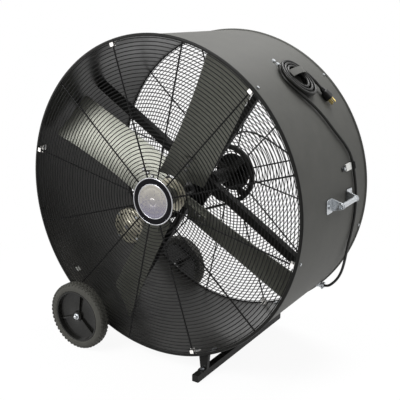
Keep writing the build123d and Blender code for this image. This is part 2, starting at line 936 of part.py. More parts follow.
# The base stands on the side of the lower cross strut, square to it, and cradles both bells.
strut_way = clock(cross_strut_lower_angle)
base_way = clock(cross_strut_lower_angle + 90)
motor_along = motor_x * strut_way[0] + motor_z * strut_way[1]
motor_aside = motor_x * base_way[0] + motor_z * base_way[1]
base_seat = cross_strut_size / 2 + seat
base_plane = Plane(
    origin=(
        fan_x + motor_along * strut_way[0],
        front_y + shell_start,
        axis_height + motor_along * strut_way[1],
    ),
    x_dir=(-strut_way[0], 0, -strut_way[1]),
    z_dir=(0, -1, 0),
)
base_length = motor_shell_length
base_top = base_seat + motor_base_thickness
saddle_half = motor_base_width / 2 - motor_base_margin
with BuildPart() as motor_base:
    with BuildSketch(base_plane):
        with Locations((0, -base_seat - motor_base_thickness / 2)):
            Rectangle(motor_base_width, motor_base_thickness)
    extrude(amount=-base_length)
    for start in (0, base_length - motor_saddle_thickness):
        with BuildSketch(base_plane.offset(-start)):
            with BuildLine():
                Polyline(
                    (-saddle_half, -base_top),
                    (saddle_half, -base_top),
                    (saddle_half, -motor_aside + 30),
                    (-saddle_half, -motor_aside + 30),
                    close=True,
                )
            make_face()
            with Locations((0, -motor_aside)):
                Circle(motor_radius + seat, mode=Mode.SUBTRACT)
        extrude(amount=-motor_saddle_thickness)
save(motor_base.part, "motor_base")

# ---------------------------------------------------------------- foot bar and legs

bar_z = foot_bar_size / 2 - axis_height
bar_top = foot_bar_size - axis_height
bar_start = -foot_bar_overhang
bar_length = drum_depth + 2 * foot_bar_overhang
bar_bore = foot_bar_size - 2 * foot_bar_wall
toe_centre = leg_depth - leg_toe_length / 2


def above_bar(depth, height):
    """Level plane over the foot bar, `height` above the floor, at `depth` behind the front rim."""
    return Plane(origin=(fan_x + foot_bar_x, front_y + depth, height))


with BuildPart() as foot_bar:
    with BuildSketch(depth_plane(bar_start, foot_bar_x, bar_z)):
        Rectangle(foot_bar_size, foot_bar_size)
        Rectangle(bar_bore, bar_bore, mode=Mode.SUBTRACT)
    extrude(amount=-bar_length)
    for depth in (toe_centre, rear_depth - toe_centre):
        with BuildSketch(above_bar(depth, foot_bar_size)):
            RegularPolygon(bolt_diameter / 2 + hole_clearance, 6)
        extrude(amount=-foot_bar_wall, mode=Mode.SUBTRACT)
save(foot_bar.part, "foot_bar")


def end_cap(face, way):
    """Plastic plug: a flat face over the tube's end and a spigot inside it."""
    with BuildPart() as cap:
        with BuildSketch(depth_plane(face, foot_bar_x, bar_z)):
            Rectangle(foot_bar_size, foot_bar_size)
        extrude(amount=way * end_cap_thickness)
        with BuildSketch(depth_plane(face, foot_bar_x, bar_z)):
            Rectangle(bar_bore - 2 * seat, bar_bore - 2 * seat)
        extrude(amount=-way * 4 * end_cap_thickness)
        chamfer(cap.edges().filter_by(Axis.Y).group_by(Axis.Y)[0 if way > 0 else -1], end_cap_thickness / 4)
    return cap.part


caps = [end_cap(bar_start, 1), end_cap(bar_start + bar_length, -1)]
save(Compound(children=caps), "foot_end_caps")

leg_left_angle = 180 - degrees(asin((foot_bar_x - leg_top_width / 2) / outer_seat_radius))
leg_right_angle = leg_bolt_angle - degrees(nut_plate / 2 / outer_seat_radius)


def leg(from_rear):
    """Tapered channel from the drum to the foot bar, with a bolted pad above and a toe below."""
    way = -1 if from_rear else 1
    start = rear_depth - leg_depth if from_rear else leg_depth
    face = depth_plane(start)
    top = -(shell_radius - bead_height) * cos(asin(foot_bar_x / shell_radius)) + 2 * bead_height
    slope = (leg_top_width - leg_bottom_width) / 2 / (top - bar_top)
    side = leg_sheet * sqrt(1 + slope**2)
    with BuildPart() as channel:
        with BuildSketch(face):
            with BuildLine():
                Polyline(
                    (foot_bar_x - leg_top_width / 2, top),
                    (foot_bar_x + leg_top_width / 2, top),
                    (foot_bar_x + leg_bottom_width / 2, bar_top),
                    (foot_bar_x - leg_bottom_width / 2, bar_top),
                    close=True,
                )
            make_face()
            Circle(outer_seat_radius, mode=Mode.SUBTRACT)
        extrude(amount=-way * (leg_sheet + leg_flange))
        with BuildSketch(face.offset(-way * leg_sheet)):
            with BuildLine():
                Polyline(
                    (foot_bar_x - leg_top_width / 2 + side, top),
                    (foot_bar_x + leg_top_width / 2 - side, top),
                    (foot_bar_x + leg_bottom_width / 2 - side, bar_top),
                    (foot_bar_x - leg_bottom_width / 2 + side, bar_top),
                    close=True,
                )
            make_face()
        extrude(amount=-way * leg_flange, mode=Mode.SUBTRACT)
        with BuildSketch(face):
            Circle(outer_seat_radius + leg_sheet)
            Circle(outer_seat_radius, mode=Mode.SUBTRACT)
            with BuildLine():
                Polyline(
                    (0, 0),
                    clock(leg_right_angle, 2 * rim_radius),
                    clock(leg_left_angle, 2 * rim_radius),
                    close=True,
                )
            make_face(mode=Mode.INTERSECT)
        extrude(amount=-way * leg_pad_length)
        with BuildSketch(wall_plane(leg_bolt_angle, leg_bolt_place(from_rear), shell_radius)):
            RegularPolygon(bolt_diameter / 2 + hole_clearance, 6)
        extrude(amount=4 * leg_sheet, mode=Mode.SUBTRACT)
        with BuildSketch(above_bar(start - way * (leg_toe_length - leg_sheet) / 2, foot_bar_size)):
            Rectangle(leg_bottom_width, leg_toe_length + leg_sheet)
        extrude(amount=leg_sheet)
        with BuildSketch(above_bar(toe_place(from_rear), foot_bar_size)):
            RegularPolygon(bolt_diameter / 2 + hole_clearance, 6)
        extrude(amount=leg_sheet, mode=Mode.SUBTRACT)
    return channel.part


def leg_bolt_place(from_rear):
    """Depth of the bolt through a leg's pad."""
    return rear_depth - leg_bolt_depth if from_rear else leg_bolt_depth


def toe_place(from_rear):
    """Depth of the bolt through a leg's toe."""
    return rear_depth - toe_centre if from_rear else toe_centre


save(leg(False), "front_leg")
save(leg(True), "rear_leg")

nut_seat = inner_radius - seat
leg_bolts = [
    bolt(leg_bolt_angle, leg_bolt_place(rear), outer_seat_radius + leg_sheet, nut_seat, nut_plate)
    for rear in (False, True)
]
leg_bolts += [
    fastener(
        above_bar(toe_place(rear), foot_bar_size + leg_sheet),
        (bolt_head_across / sqrt(3), bolt_head_height),
        (bolt_diameter / 2, leg_sheet + foot_bar_wall),
        nut_plate_height,
    )
    for rear in (False, True)
]
save(Compound(children=leg_bolts), "leg_bolts")

# ---------------------------------------------------------------- axle and wheels

axle_x, axle_z = clock(axle_angle, axle_distance)
wheel_bore = axle_radius + running
collar_start = wheel_width - wheel_outset + running

axle_half = [
    (-axle_overhang, 0),
    (-axle_overhang, axle_radius),
    (collar_start, axle_radius),
    (collar_start, axle_collar_radius),
    (collar_start + axle_collar_width, axle_collar_radius),
    (collar_start + axle_collar_width, axle_radius),
]
axle_points = axle_half + [(rear_depth - depth, radius) for depth, radius in reversed(axle_half)]
save(turned(axle_points, axle_x, axle_z), "wheel_axle")


def axle_bracket(from_rear):
    """Strap along the drum with a boss that holds the axle clear of the rim bead."""
    start = rear_depth - axle_bracket_depth - axle_bracket_width if from_rear else axle_bracket_depth
    boss = axle_radius + axle_bracket_sheet
    with BuildPart() as bracket:
        with BuildSketch(depth_plane(start)):
            Circle(outer_seat_radius + axle_bracket_sheet)
            with BuildLine():
                Polyline(
                    (0, 0),
                    clock(axle_angle - axle_bracket_lead, 2 * rim_radius),
                    clock(axle_angle + axle_bracket_trail, 2 * rim_radius),
                    close=True,
                )
            make_face(mode=Mode.INTERSECT)
            with Locations((axle_x, axle_z)):
                Circle(boss)
            with Locations(clock(axle_angle, axle_distance - boss)):
                Rectangle(2 * boss, 2 * boss, rotation=-axle_angle)
            Circle(outer_seat_radius, mode=Mode.SUBTRACT)
            with Locations((axle_x, axle_z)):
                Circle(axle_radius + seat, mode=Mode.SUBTRACT)
        extrude(amount=-axle_bracket_width)
        with BuildSketch(wall_plane(axle_bolt_angle, start + axle_bracket_width / 2, shell_radius)):
            RegularPolygon(bolt_diameter / 2 + hole_clearance, 6)
        extrude(amount=4 * axle_bracket_sheet, mode=Mode.SUBTRACT)
    return bracket.part


save(axle_bracket(False), "axle_bracket_front")
save(axle_bracket(True), "axle_bracket_rear")
axle_bolts = [
    bolt(angle, depth, outer_seat_radius + axle_bracket_sheet, nut_seat, nut_plate)
    for angle, depth in axle_bolt_places
]
save(Compound(children=axle_bolts), "axle_bolts")


def wheel_depth(inward, from_rear):
    """Depth behind the front rim of a place `inward` from a wheel's outer face."""
    depth = inward - wheel_outset
    return rear_depth - depth if from_rear else depth


def wheel_solid(points, from_rear):
    """Solid of revolution about the axle, from (distance in from the outer face, radius) corners."""
    return turned([(wheel_depth(u, from_rear), r) for u, r in points], axle_x, axle_z)


def wheel_stack(points, sides, from_rear):
    """Polygon-sectioned solid about the axle, from (distance in from the outer face, radius) pairs."""
    return stacked([(wheel_depth(u, from_rear), r) for u, r in points], sides, axle_x, axle_z)


def wheel_rim(from_rear):
    """Moulded wheel: hub, recessed web with three ribs on its outer side, and the rim for the tyre."""
    way = -1 if from_rear else 1
    inner = wheel_rim_radius - wheel_rim_thickness
    flare = inner + wheel_draft
    lip, far_lip = wheel_lip_inset, wheel_width - wheel_lip_inset
    web_back = wheel_web_recess + wheel_web_thickness
    hub_tip = wheel_hub_radius - wheel_draft
    rib_face = wheel_hub_inset + 2 * wheel_draft
    blank = [(lip, wheel_rim_radius), (far_lip, wheel_rim_radius)]
    front_hollow = [(lip, flare), (wheel_web_recess, inner)]
    back_hollow = [(web_back, inner), (far_lip, flare)]
    front_hub = [(wheel_hub_inset, hub_tip), (wheel_web_recess, wheel_hub_radius)]
    back_hub = [(web_back, wheel_hub_radius), (wheel_width, hub_tip)]
    with BuildPart() as wheel:
        add(wheel_stack(blank, wheel_sides, from_rear))
        for hollow in (front_hollow, back_hollow):
            add(wheel_stack(hollow, wheel_sides, from_rear), mode=Mode.SUBTRACT)
        for hub in (front_hub, back_hub):
            add(wheel_stack(hub, wheel_sides, from_rear))
        with BuildSketch(depth_plane(wheel_depth(rib_face, from_rear), axle_x, axle_z)):
            for angle in wheel_rib_angles:
                with Locations(clock(angle, (wheel_hub_radius + inner) / 2)):
                    Rectangle(wheel_rib_width, inner - hub_tip, rotation=-angle)
        extrude(amount=-way * (wheel_web_recess - rib_face))
        with BuildSketch(depth_plane(wheel_depth(0, from_rear), axle_x, axle_z)):
            Circle(wheel_bore)
        extrude(amount=-way * wheel_width, mode=Mode.SUBTRACT)
    return wheel.part


def tyre(from_rear):
    """Rubber tyre with two rows of staggered tread lugs."""
    way = -1 if from_rear else 1
    sides = 2 * tread_lug_count
    tread = wheel_radius - tread_lug_height
    shoulder = tread - tyre_shoulder
    flat = 1 / cos(pi / sides)
    mouth = (wheel_rim_radius + tyre_mouth_flare) * flat
    bore = (wheel_rim_radius + seat) * flat
    lip, far_lip = wheel_lip_inset, wheel_width - wheel_lip_inset
    edge, far_edge = tyre_shoulder_width, wheel_width - tyre_shoulder_width
    outline = [(0, shoulder), (edge, tread), (far_edge, tread), (wheel_width, shoulder)]
    hole = [(0, mouth), (lip, bore), (far_lip, bore), (wheel_width, mouth)]
    with BuildPart() as rubber:
        add(wheel_stack(outline, sides, from_rear))
        add(wheel_stack(hole, sides, from_rear), mode=Mode.SUBTRACT)
        step = 360 / tread_lug_count
        gap_width = pi * wheel_radius / tread_lug_count
        for row in (0, 1):
            start = tread_margin + row * (wheel_width / 2 - tread_margin + tread_gap / 2)
            with BuildSketch(depth_plane(wheel_depth(start, from_rear), axle_x, axle_z)):
                Circle(wheel_radius)
                Circle(tread - tread_lug_height / 2, mode=Mode.SUBTRACT)
                for i in range(tread_lug_count):
                    angle = (i + (row + 1) / 2) * step
                    with Locations(clock(angle, wheel_radius)):
                        Rectangle(gap_width, wheel_radius / 4, rotation=-angle, mode=Mode.SUBTRACT)
            extrude(amount=-way * (wheel_width / 2 - tread_margin - tread_gap / 2))
    return rubber.part


for name, rear in (("front", False), ("rear", True)):
    save(wheel_rim(rear), f"{name}_wheel_rim")
    save(tyre(rear), f"{name}_tyre")


def push_nut(from_rear):
    """Domed cap pressed over the end of the axle, clear of the hub."""
    way = -1 if from_rear else 1
    rod_end = wheel_outset - axle_overhang
    foot = wheel_hub_inset - running
    dome = [
        (rod_end - push_nut_cap, push_nut_radius / 2),
        (rod_end + push_nut_cap, push_nut_radius),
        (foot, push_nut_radius),
    ]
    with BuildPart() as cap:
        add(wheel_stack(dome, push_nut_sides, from_rear))
        with BuildSketch(depth_plane(wheel_depth(rod_end - seat, from_rear), axle_x, axle_z)):
            Circle(axle_radius + seat)
        extrude(amount=-way * (foot - rod_end + seat), mode=Mode.SUBTRACT)
    return cap.part


save(Compound(children=[push_nut(False), push_nut(True)]), "axle_push_nuts")

# ---------------------------------------------------------------- tilt handle

grip_x = handle_reach - handle_end_radius


def handle_bracket(outer, way):
    """Bent bracket: a web square to the grip and a flange bolted to the drum."""
    flange = wall_plane(handle_angle, outer - way * handle_flange_length / 2, outer_seat_radius)
    with BuildPart() as bracket:
        with BuildSketch(depth_plane(outer)):
            with Locations((grip_x, handle_height)):
                Circle(handle_end_radius)
            with Locations(clock(handle_angle, outer_seat_radius + handle_sheet / 2)):
                Rectangle(handle_flange_height - 6, handle_sheet, rotation=-handle_angle)
            make_hull()
            with Locations((grip_x, handle_height)):
                Circle(grip_radius + seat, mode=Mode.SUBTRACT)
        extrude(amount=-way * handle_sheet)
        with BuildSketch(flange):
            RectangleRounded(handle_flange_height, handle_flange_length, 6)
        extrude(amount=handle_sheet)
        with BuildSketch(wall_plane(handle_angle, outer - way * handle_bolt_offset, shell_radius)):
            RegularPolygon(bolt_diameter / 2 + hole_clearance, 6)
        extrude(amount=2 * handle_sheet, mode=Mode.SUBTRACT)
    return bracket.part


brackets = [handle_bracket(handle_front_depth, 1), handle_bracket(handle_rear_depth, -1)]
save(Compound(children=brackets), "handle_brackets")

with BuildPart() as handle_grip:
    with BuildSketch(depth_plane(handle_front_depth - grip_overhang, grip_x, handle_height)):
        Circle(grip_radius)
        Circle(grip_radius - grip_wall, mode=Mode.SUBTRACT)
    extrude(amount=-(handle_length + 2 * grip_overhang))
save(handle_grip.part, "handle_grip")

handle_bolts = [
    bolt(angle, depth, outer_seat_radius + handle_sheet, nut_seat, nut_plate)
    for angle, depth in handle_bolt_places
]
save(Compound(children=handle_bolts), "handle_bolts")

# ---------------------------------------------------------------- cord clip, hook and strain relief


def radial_plane(angle):
    """Plane through the fan axis: x to the rear from the front rim, y outwards, normal clockwise."""
    along = clock(angle + 90)
    return Plane(origin=(fan_x, front_y, axis_height), x_dir=(0, 1, 0), z_dir=(along[0], 0, along[1]))


clip_bore = cord_diameter / 2 + clip_looseness
clip_ring = clip_bore + clip_strap_thickness
clip_centre_radius = outer_seat_radius + clip_ring
strap_start = clip_screw_depth - clip_strap_margin
clip_plane = radial_plane(clip_angle).offset(-clip_strap_width / 2)
with BuildPart() as cord_clip:
    with BuildSketch(clip_plane):
        with Locations((clip_cord_depth, clip_centre_radius)):
            Circle(clip_ring)
        with BuildLine():
            Polyline(
                (strap_start, outer_seat_radius),
                (clip_cord_depth, outer_seat_radius),
                (clip_cord_depth, outer_seat_radius + 2 * clip_strap_thickness),
                (strap_start, outer_seat_radius + 2 * clip_strap_thickness),
                close=True,
            )
        make_face()
        with Locations((clip_cord_depth, clip_centre_radius)):
            Circle(clip_bore, mode=Mode.SUBTRACT)
    extrude(amount=clip_strap_width)
    with BuildSketch(wall_plane(clip_angle, clip_screw_depth, shell_radius)):
        RegularPolygon(screw_diameter / 2 + hole_clearance, 6)
    extrude(amount=4 * clip_strap_thickness, mode=Mode.SUBTRACT)
save(cord_clip.part, "cord_clip")

clip_screw_seat = outer_seat_radius + 2 * clip_strap_thickness + seat
clip_screw = fastener(
    wall_plane(clip_angle, clip_screw_depth, clip_screw_seat),
    (screw_head_diameter / 2, screw_head_height),
    (screw_diameter / 2, clip_screw_seat - nut_seat),
    screw_nut_height,
)
save(clip_screw, "cord_clip_screw")

hook_angle = hank_angle - degrees(hook_offset / shell_radius)
lip_base = outer_seat_radius + hook_lip_height
with BuildPart() as cord_hook:
    with BuildSketch(radial_plane(hook_angle)):
        with BuildLine():
            lip_under = ThreePointArc(
                (hank_depth - hook_lip_width / 2, lip_base),
                (hank_depth, lip_base + hook_arch_rise),
                (hank_depth + hook_lip_width / 2, lip_base),
            )
            offset(lip_under, amount=hook_sheet, side=Side.LEFT)
        make_face()
    extrude(amount=hook_lip_reach)
    with BuildSketch(radial_plane(hook_angle)):
        with Locations((hank_depth, outer_seat_radius + (hook_lip_height + hook_arch_rise) / 2)):
            Rectangle(hook_stem_width, hook_lip_height + hook_arch_rise)
    extrude(amount=hook_sheet)
    with BuildSketch(wall_plane(hook_angle, hank_depth, outer_seat_radius)):
        with Locations(((hook_sheet - hook_foot_length) / 2 + hook_sheet / 2, 0)):
            Rectangle(hook_foot_length, hook_stem_width)
    extrude(amount=hook_sheet)
save(cord_hook.part, "cord_hook")

relief_seat = wall_plane(relief_angle, relief_depth, shell_radius + seat)
relief_neck_length = shell_radius + 2 * seat - sqrt(inner_radius**2 - relief_collar_radius**2)
tilt = radians(relief_tilt)
relief_pivot = relief_seat.from_local_coords(Vector(0, 0, relief_collar_height / 2))
relief_way = relief_seat.z_dir * cos(tilt) - relief_seat.x_dir * sin(tilt)
relief_exit = relief_pivot + relief_way * relief_clamp_length
relief_clamp = Plane(origin=relief_pivot, x_dir=(0, 1, 0), z_dir=relief_way)
with BuildPart() as strain_relief:
    with BuildSketch(relief_clamp.offset(-relief_collar_height)) as clamp_section:
        Rectangle(relief_clamp_width, relief_clamp_depth)
        chamfer(clamp_section.vertices(), relief_clamp_corner)
    extrude(amount=relief_clamp_length + relief_collar_height)
    split(bisect_by=relief_seat, keep=Keep.TOP)
    with BuildSketch(relief_seat):
        RegularPolygon(relief_collar_radius, relief_sides)
    extrude(amount=relief_collar_height)
    with BuildSketch(relief_seat):
        RegularPolygon(relief_neck_radius, relief_sides)
    extrude(amount=-relief_neck_length)
    with BuildSketch(relief_seat.offset(-relief_neck_length)):
        RegularPolygon(relief_collar_radius, 6)
    extrude(amount=-relief_nut_height)
save(strain_relief.part, "strain_relief")

# ---------------------------------------------------------------- cord, hank, plug and motor lead


def on_drum(angle, depth, radius):
    """Point at a clock angle, depth behind the front rim and distance from the fan axis."""
    x, z = clock(angle, radius)
    return Vector(fan_x + x, front_y + depth, axis_height + z)


def tube(name, points, diameter):
    """Tube along straight runs and the widest tangent arcs that they leave room for."""
    runs = [second - first for first, second in zip(points, points[1:])]
    radii = [
        0.45 * min(before.length, after.length) / tan(radians(before.get_angle(after) / 2))
        for before, after in zip(runs, runs[1:])
    ]
    print(name, "radii", [round(radius) for radius in radii])
    print(name, "runs", [round(run.length) for run in runs])
    with BuildPart() as body:
        with BuildLine():
            route = FilletPolyline(*points, radius=radii)
        with BuildSketch(Plane(origin=route @ 0, z_dir=route % 0)):
            section = RegularPolygon(diameter / 2, cord_sides)
        area = section.area
        sweep()
    ratio = body.part.volume / area / route.length
    print(name, "length", round(route.length), "volume ratio", round(ratio, 4))
    save(body.part, name)


hank_height = hank_lift + cord_diameter / 2
hank_plane = wall_plane(hank_angle, hank_depth, shell_radius + hank_height, hank_tilt)
hank_lanes = [
    hank_outer_radius - hank_pitch / 2 * min(i, hank_half_turns - 1 - i) for i in range(hank_half_turns)
]


def hank_route():
    """Lines and half turns of the hank, in its own plane: in on the lower layer, out on the upper."""
    level, lane = 0, -hank_outer_radius
    here = Vector(hank_start_run, lane, level)
    pieces = []
    for i, radius in enumerate(hank_lanes):
        way = 1 if i % 2 else -1
        turn_x = hank_fan * (radius - hank_lanes[hank_half_turns // 2]) / hank_outer_radius if way > 0 else 0
        begin = Vector(turn_x, lane, level)
        climbing = i == hank_half_turns // 2
        lane += -way * 2 * radius
        level += hank_layer_step if climbing else 0
        end = Vector(turn_x, lane, level)
        summit = (begin + end) / 2 + Vector(way * (end - begin).length / 2, 0, 0)
        if (begin - here).length > 0.01:
            pieces.append((here, begin))
        pieces.append((begin, summit, end))
        here = end
    pieces.append((here, Vector(hank_end_run, lane, level)))
    return pieces


hank_pieces = hank_route()
with BuildLine() as hank_line:
    for piece in hank_pieces:
        if len(piece) == 2:
            Line(*piece)
        else:
            ThreePointArc(*piece)
hank_wire = hank_line.wire().moved(hank_plane.location)
with BuildPart() as cord_hank:
    with BuildSketch(Plane(origin=hank_wire @ 0, x_dir=hank_plane.y_dir, z_dir=hank_wire % 0)):
        hank_section = RegularPolygon(cord_diameter / 2, cord_sides)
    sweep(path=hank_wire)
ratio = cord_hank.part.volume / hank_section.area / hank_wire.length
print("cord_hank length", round(hank_wire.length), "volume ratio", round(ratio, 4))
hank_start = hank_plane.from_local_coords(hank_pieces[0][0])
hank_end = hank_plane.from_local_coords(hank_pieces[-1][1])
save(cord_hank.part, "cord_hank")


def least_gap(wire, diameter, step=2):
    """Least gap between stretches of a tube that are at least four diameters apart along it."""
    count = int(wire.length / step)
    points = [wire @ (i / count) for i in range(count + 1)]
    apart = int(4 * diameter / step)
    return min((p - q).length for i, p in enumerate(points) for q in points[i + apart :]) - diameter


print("cord_hank least gap", round(least_gap(hank_wire, cord_diameter), 2))

cord_radius = shell_radius + cord_lift + cord_diameter / 2
clip_cord_radius = clip_centre_radius
cord_route = [
    relief_exit,
    relief_exit + relief_way * 13,
    on_drum(129.8, 515, 588),
    on_drum(127.1, 512, 590),
    on_drum(123.4, 503, 587.5),
    on_drum(119.2, 489, 579.5),
    on_drum(114.6, 470, 571),
    on_drum(109.4, 450, 565),
    on_drum(103.2, 438, cord_radius),
    on_drum(95.5, 432, cord_radius),
    on_drum(87.4, 424, cord_radius),
    on_drum(81.0, clip_cord_depth + 1, clip_cord_radius),
    on_drum(74.6, clip_cord_depth - 1, clip_cord_radius),
    on_drum(69.6, 380, cord_radius),
    on_drum(65.0, 340, cord_radius),
    on_drum(59.6, 309, cord_radius),
    on_drum(56.1, 289, cord_radius),
    on_drum(53.2, 269, cord_radius),
    hank_start + hank_plane.x_dir * 26,
    hank_start,
]
tube("cord_run", cord_route, cord_diameter)

plug_height_above = shell_radius + 2 * seat + plug_height / 2
plug_plane = wall_plane(plug_angle, plug_depth, plug_height_above, plug_tilt)
plug_back = plug_plane.from_local_coords(Vector(-plug_length / 2 - plug_neck_length, 0, 0))
tail_route = [
    hank_end,
    hank_end + hank_plane.x_dir * 18,
    plug_back - plug_plane.x_dir * 18,
    plug_back,
]
tube("cord_tail", tail_route, cord_diameter)

plug_section = Plane(origin=plug_plane.origin, x_dir=plug_plane.y_dir, z_dir=plug_plane.x_dir)
with BuildPart() as plug_body:
    with BuildSketch(plug_section.offset(-plug_length / 2)) as plug_outline:
        Rectangle(plug_width, plug_height)
        chamfer(plug_outline.vertices(), plug_corner)
    extrude(amount=plug_length)
    with BuildSketch(plug_section.offset(-plug_length / 2 - plug_neck_length)):
        RegularPolygon(plug_tip_radius, plug_sides)
    with BuildSketch(plug_section.offset(-plug_length / 2)):
        RegularPolygon(plug_neck_radius, plug_sides)
    loft()
save(plug_body.part, "plug_body")

plug_face = plug_section.offset(plug_length / 2)
with BuildPart() as plug_blades:
    with BuildSketch(plug_face):
        blade_row = -plug_pin_offset / 2
        with Locations((-plug_blade_spacing / 2, blade_row), (plug_blade_spacing / 2, blade_row)):
            Rectangle(plug_blade_thickness, plug_blade_width)
        with Locations((0, plug_pin_offset)):
            Circle(plug_pin_radius)
    extrude(amount=plug_blade_length)
save(plug_blades.part, "plug_blades")

box_way = clock(terminal_box_angle)
box_along = clock(terminal_box_angle + 90)
box_depth = (shell_start + shell_end) / 2
box_plane = Plane(
    origin=(fan_x + motor_x, front_y + box_depth, axis_height + motor_z),
    x_dir=(box_along[0], 0, box_along[1]),
    z_dir=(box_way[0], 0, box_way[1]),
)
with BuildPart() as motor_terminal_box:
    with BuildSketch(box_plane):
        RectangleRounded(terminal_box_width, terminal_box_length, 5)
    extrude(amount=motor_radius + terminal_box_height)
    with BuildSketch(box_plane.offset(motor_radius + terminal_box_height - terminal_box_wall)):
        RectangleRounded(terminal_box_width + 4, terminal_box_length + 4, 6)
    extrude(amount=terminal_box_wall)
    with BuildSketch(depth_plane(0, motor_x, motor_z)):
        Circle(motor_radius + seat)
    extrude(amount=-rear_depth, mode=Mode.SUBTRACT)
save(motor_terminal_box.part, "motor_terminal_box")


def inside(x, z, depth):
    """Point at (x, z) from the fan axis, `depth` behind the front rim."""
    return Vector(fan_x + x, front_y + depth, axis_height + z)


lead_height = motor_radius + terminal_box_height / 2
lead_start = box_plane.from_local_coords(
    Vector(terminal_box_width / 2 + seat, terminal_box_length / 2 - 2 * lead_diameter, lead_height)
)
relief_inner = shell_radius + seat - relief_neck_length - relief_nut_height - seat
lead_route = [
    lead_start,
    lead_start + box_plane.x_dir * 24,
    inside(-150, -120, 320),
    inside(-104, -84, 322),
    inside(-64, -40, 322),
    inside(-46, 6, 320),
    inside(-24, 48, 318),
    inside(18, 78, 317),
    inside(60, 114, 316),
    inside(104, 160, 316),
    inside(150, 208, 314),
    inside(208, 218, 304),
    inside(276, 202, 292),
    inside(330, 177, 286),
    inside(382, 149, 288),
    inside(440, 116, 302),
    inside(490, 74, 322),
    inside(524, 22, 346),
    inside(536, -38, 372),
    inside(530, -104, 402),
    inside(506, -172, 432),
    inside(472, -236, 460),
    inside(424, -296, 486),
    inside(388, -334, 505),
    on_drum(relief_angle, relief_depth, relief_inner - 26),
    on_drum(relief_angle, relief_depth, relief_inner),
]
tube("motor_cable", lead_route, lead_diameter)
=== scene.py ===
"""Looks of a belt-drive drum fan: paint, wire, sheet metal, rubber and cord around the fixed frame."""

import logging
import math
from dataclasses import dataclass, field
from enum import Enum

import bmesh
import bpy
from mathutils import Matrix, Vector


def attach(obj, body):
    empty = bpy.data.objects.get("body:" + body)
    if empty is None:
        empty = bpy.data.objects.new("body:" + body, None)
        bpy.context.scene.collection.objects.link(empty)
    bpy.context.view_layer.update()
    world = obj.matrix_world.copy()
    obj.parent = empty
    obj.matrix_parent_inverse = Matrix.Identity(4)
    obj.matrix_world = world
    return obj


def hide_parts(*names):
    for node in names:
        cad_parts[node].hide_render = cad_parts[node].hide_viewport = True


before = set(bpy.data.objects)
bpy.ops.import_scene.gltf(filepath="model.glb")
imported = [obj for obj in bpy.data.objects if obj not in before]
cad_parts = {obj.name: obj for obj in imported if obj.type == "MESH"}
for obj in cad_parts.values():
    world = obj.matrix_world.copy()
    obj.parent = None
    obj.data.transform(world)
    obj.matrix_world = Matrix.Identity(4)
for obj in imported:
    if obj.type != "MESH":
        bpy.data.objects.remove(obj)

log = logging.getLogger("drum_fan")

# Places and sizes of pieces are in millimetres, which MM turns into metres; the studio's and the cords'
# declared lengths are in metres. SEAT is the gap under a piece that stands on another.
MM = 0.001
FAN_X, FRONT_Y, AXIS_Z = -23.5, -270.0, 603.0
DRUM_DEPTH, SHELL_RADIUS, INNER_RADIUS = 540.0, 555.0, 553.0
MOTOR_X, MOTOR_Z, MOTOR_RADIUS = -280.0, -192.0, 74.0
SEAT = 0.1
WHITE = (1.0, 1.0, 1.0, 1.0)

Point2 = tuple[float, float]
Point3 = tuple[float, float, float]
Colour = tuple[float, float, float]
Inputs = dict[str | int, object]


# ------------------------------------------------------------------ places


def clock(angle: float, radius: float = 1.0) -> Point2:
    """Sideways and upward distance from the fan axis, clockwise from the top."""
    return radius * math.sin(math.radians(angle)), radius * math.cos(math.radians(angle))


def on_drum(angle: float, depth: float, radius: float) -> Vector:
    """Point by its clock angle, depth behind the front rim and distance from the fan axis.

    Args:
        angle: degrees clockwise from the top, seen from the front.
        depth: millimetres behind the front rim.
        radius: millimetres from the fan axis.

    Returns:
        The point in millimetres in the row frame.
    """
    x, z = clock(angle, radius)
    return Vector((FAN_X + x, FRONT_Y + depth, AXIS_Z + z))


def inside(x: float, z: float, depth: float) -> Vector:
    """Point at x and z from the fan axis and at a depth behind the front rim, in millimetres."""
    return Vector((FAN_X + x, FRONT_Y + depth, AXIS_Z + z))


def basis(origin: Vector, x_way: Vector, z_way: Vector) -> Matrix:
    """Frame matrix with its x and z along two given directions.

    Args:
        origin: the frame's origin, in millimetres.
        x_way: direction of the frame's x.
        z_way: direction of the frame's z.

    Returns:
        A 4 by 4 matrix from the frame to the row frame.
    """
    z = z_way.normalized()
    x = (x_way - z * x_way.dot(z)).normalized()
    return Matrix.LocRotScale(origin, Matrix((x, z.cross(x), z)).transposed(), None)


def turned(place: Matrix, x: int, z: int) -> Matrix:
    """A frame at another one's origin, with its x and z along two axes of that one, by number."""
    return basis(place.to_translation(), place.col[x].to_3d(), place.col[z].to_3d())


def spun(place: Matrix, degrees: float) -> Matrix:
    """A frame turned about its own z."""
    return place @ Matrix.Rotation(math.radians(degrees), 4, "Z")


def heading(angle: float, turn: float = 0.0) -> Vector:
    """Direction across the drum at a clock angle, turned to the rear by `turn` degrees."""
    x, z = clock(angle)
    t = math.radians(turn)
    return Vector((x * math.cos(t), math.sin(t), z * math.cos(t)))


def wall_frame(angle: float, depth: float, radius: float, turn: float = 0.0) -> Matrix:
    """Frame on the drum's wall: x clockwise, turned to the rear by `turn`, z outwards.

    Args:
        angle: degrees clockwise from the top.
        depth: millimetres behind the front rim.
        radius: millimetres from the fan axis.
        turn: degrees that x turns towards the rear.

    Returns:
        The frame's matrix.
    """
    return basis(on_drum(angle, depth, radius), heading(angle + 90, turn), heading(angle))


def depth_frame(depth: float, x: float = 0.0, z: float = 0.0, way: int = 1) -> Matrix:
    """Frame across the drum: x right, z to the front, or both the other way where `way` is -1."""
    return basis(inside(x, z, depth), Vector((way, 0, 0)), Vector((0, -way, 0)))


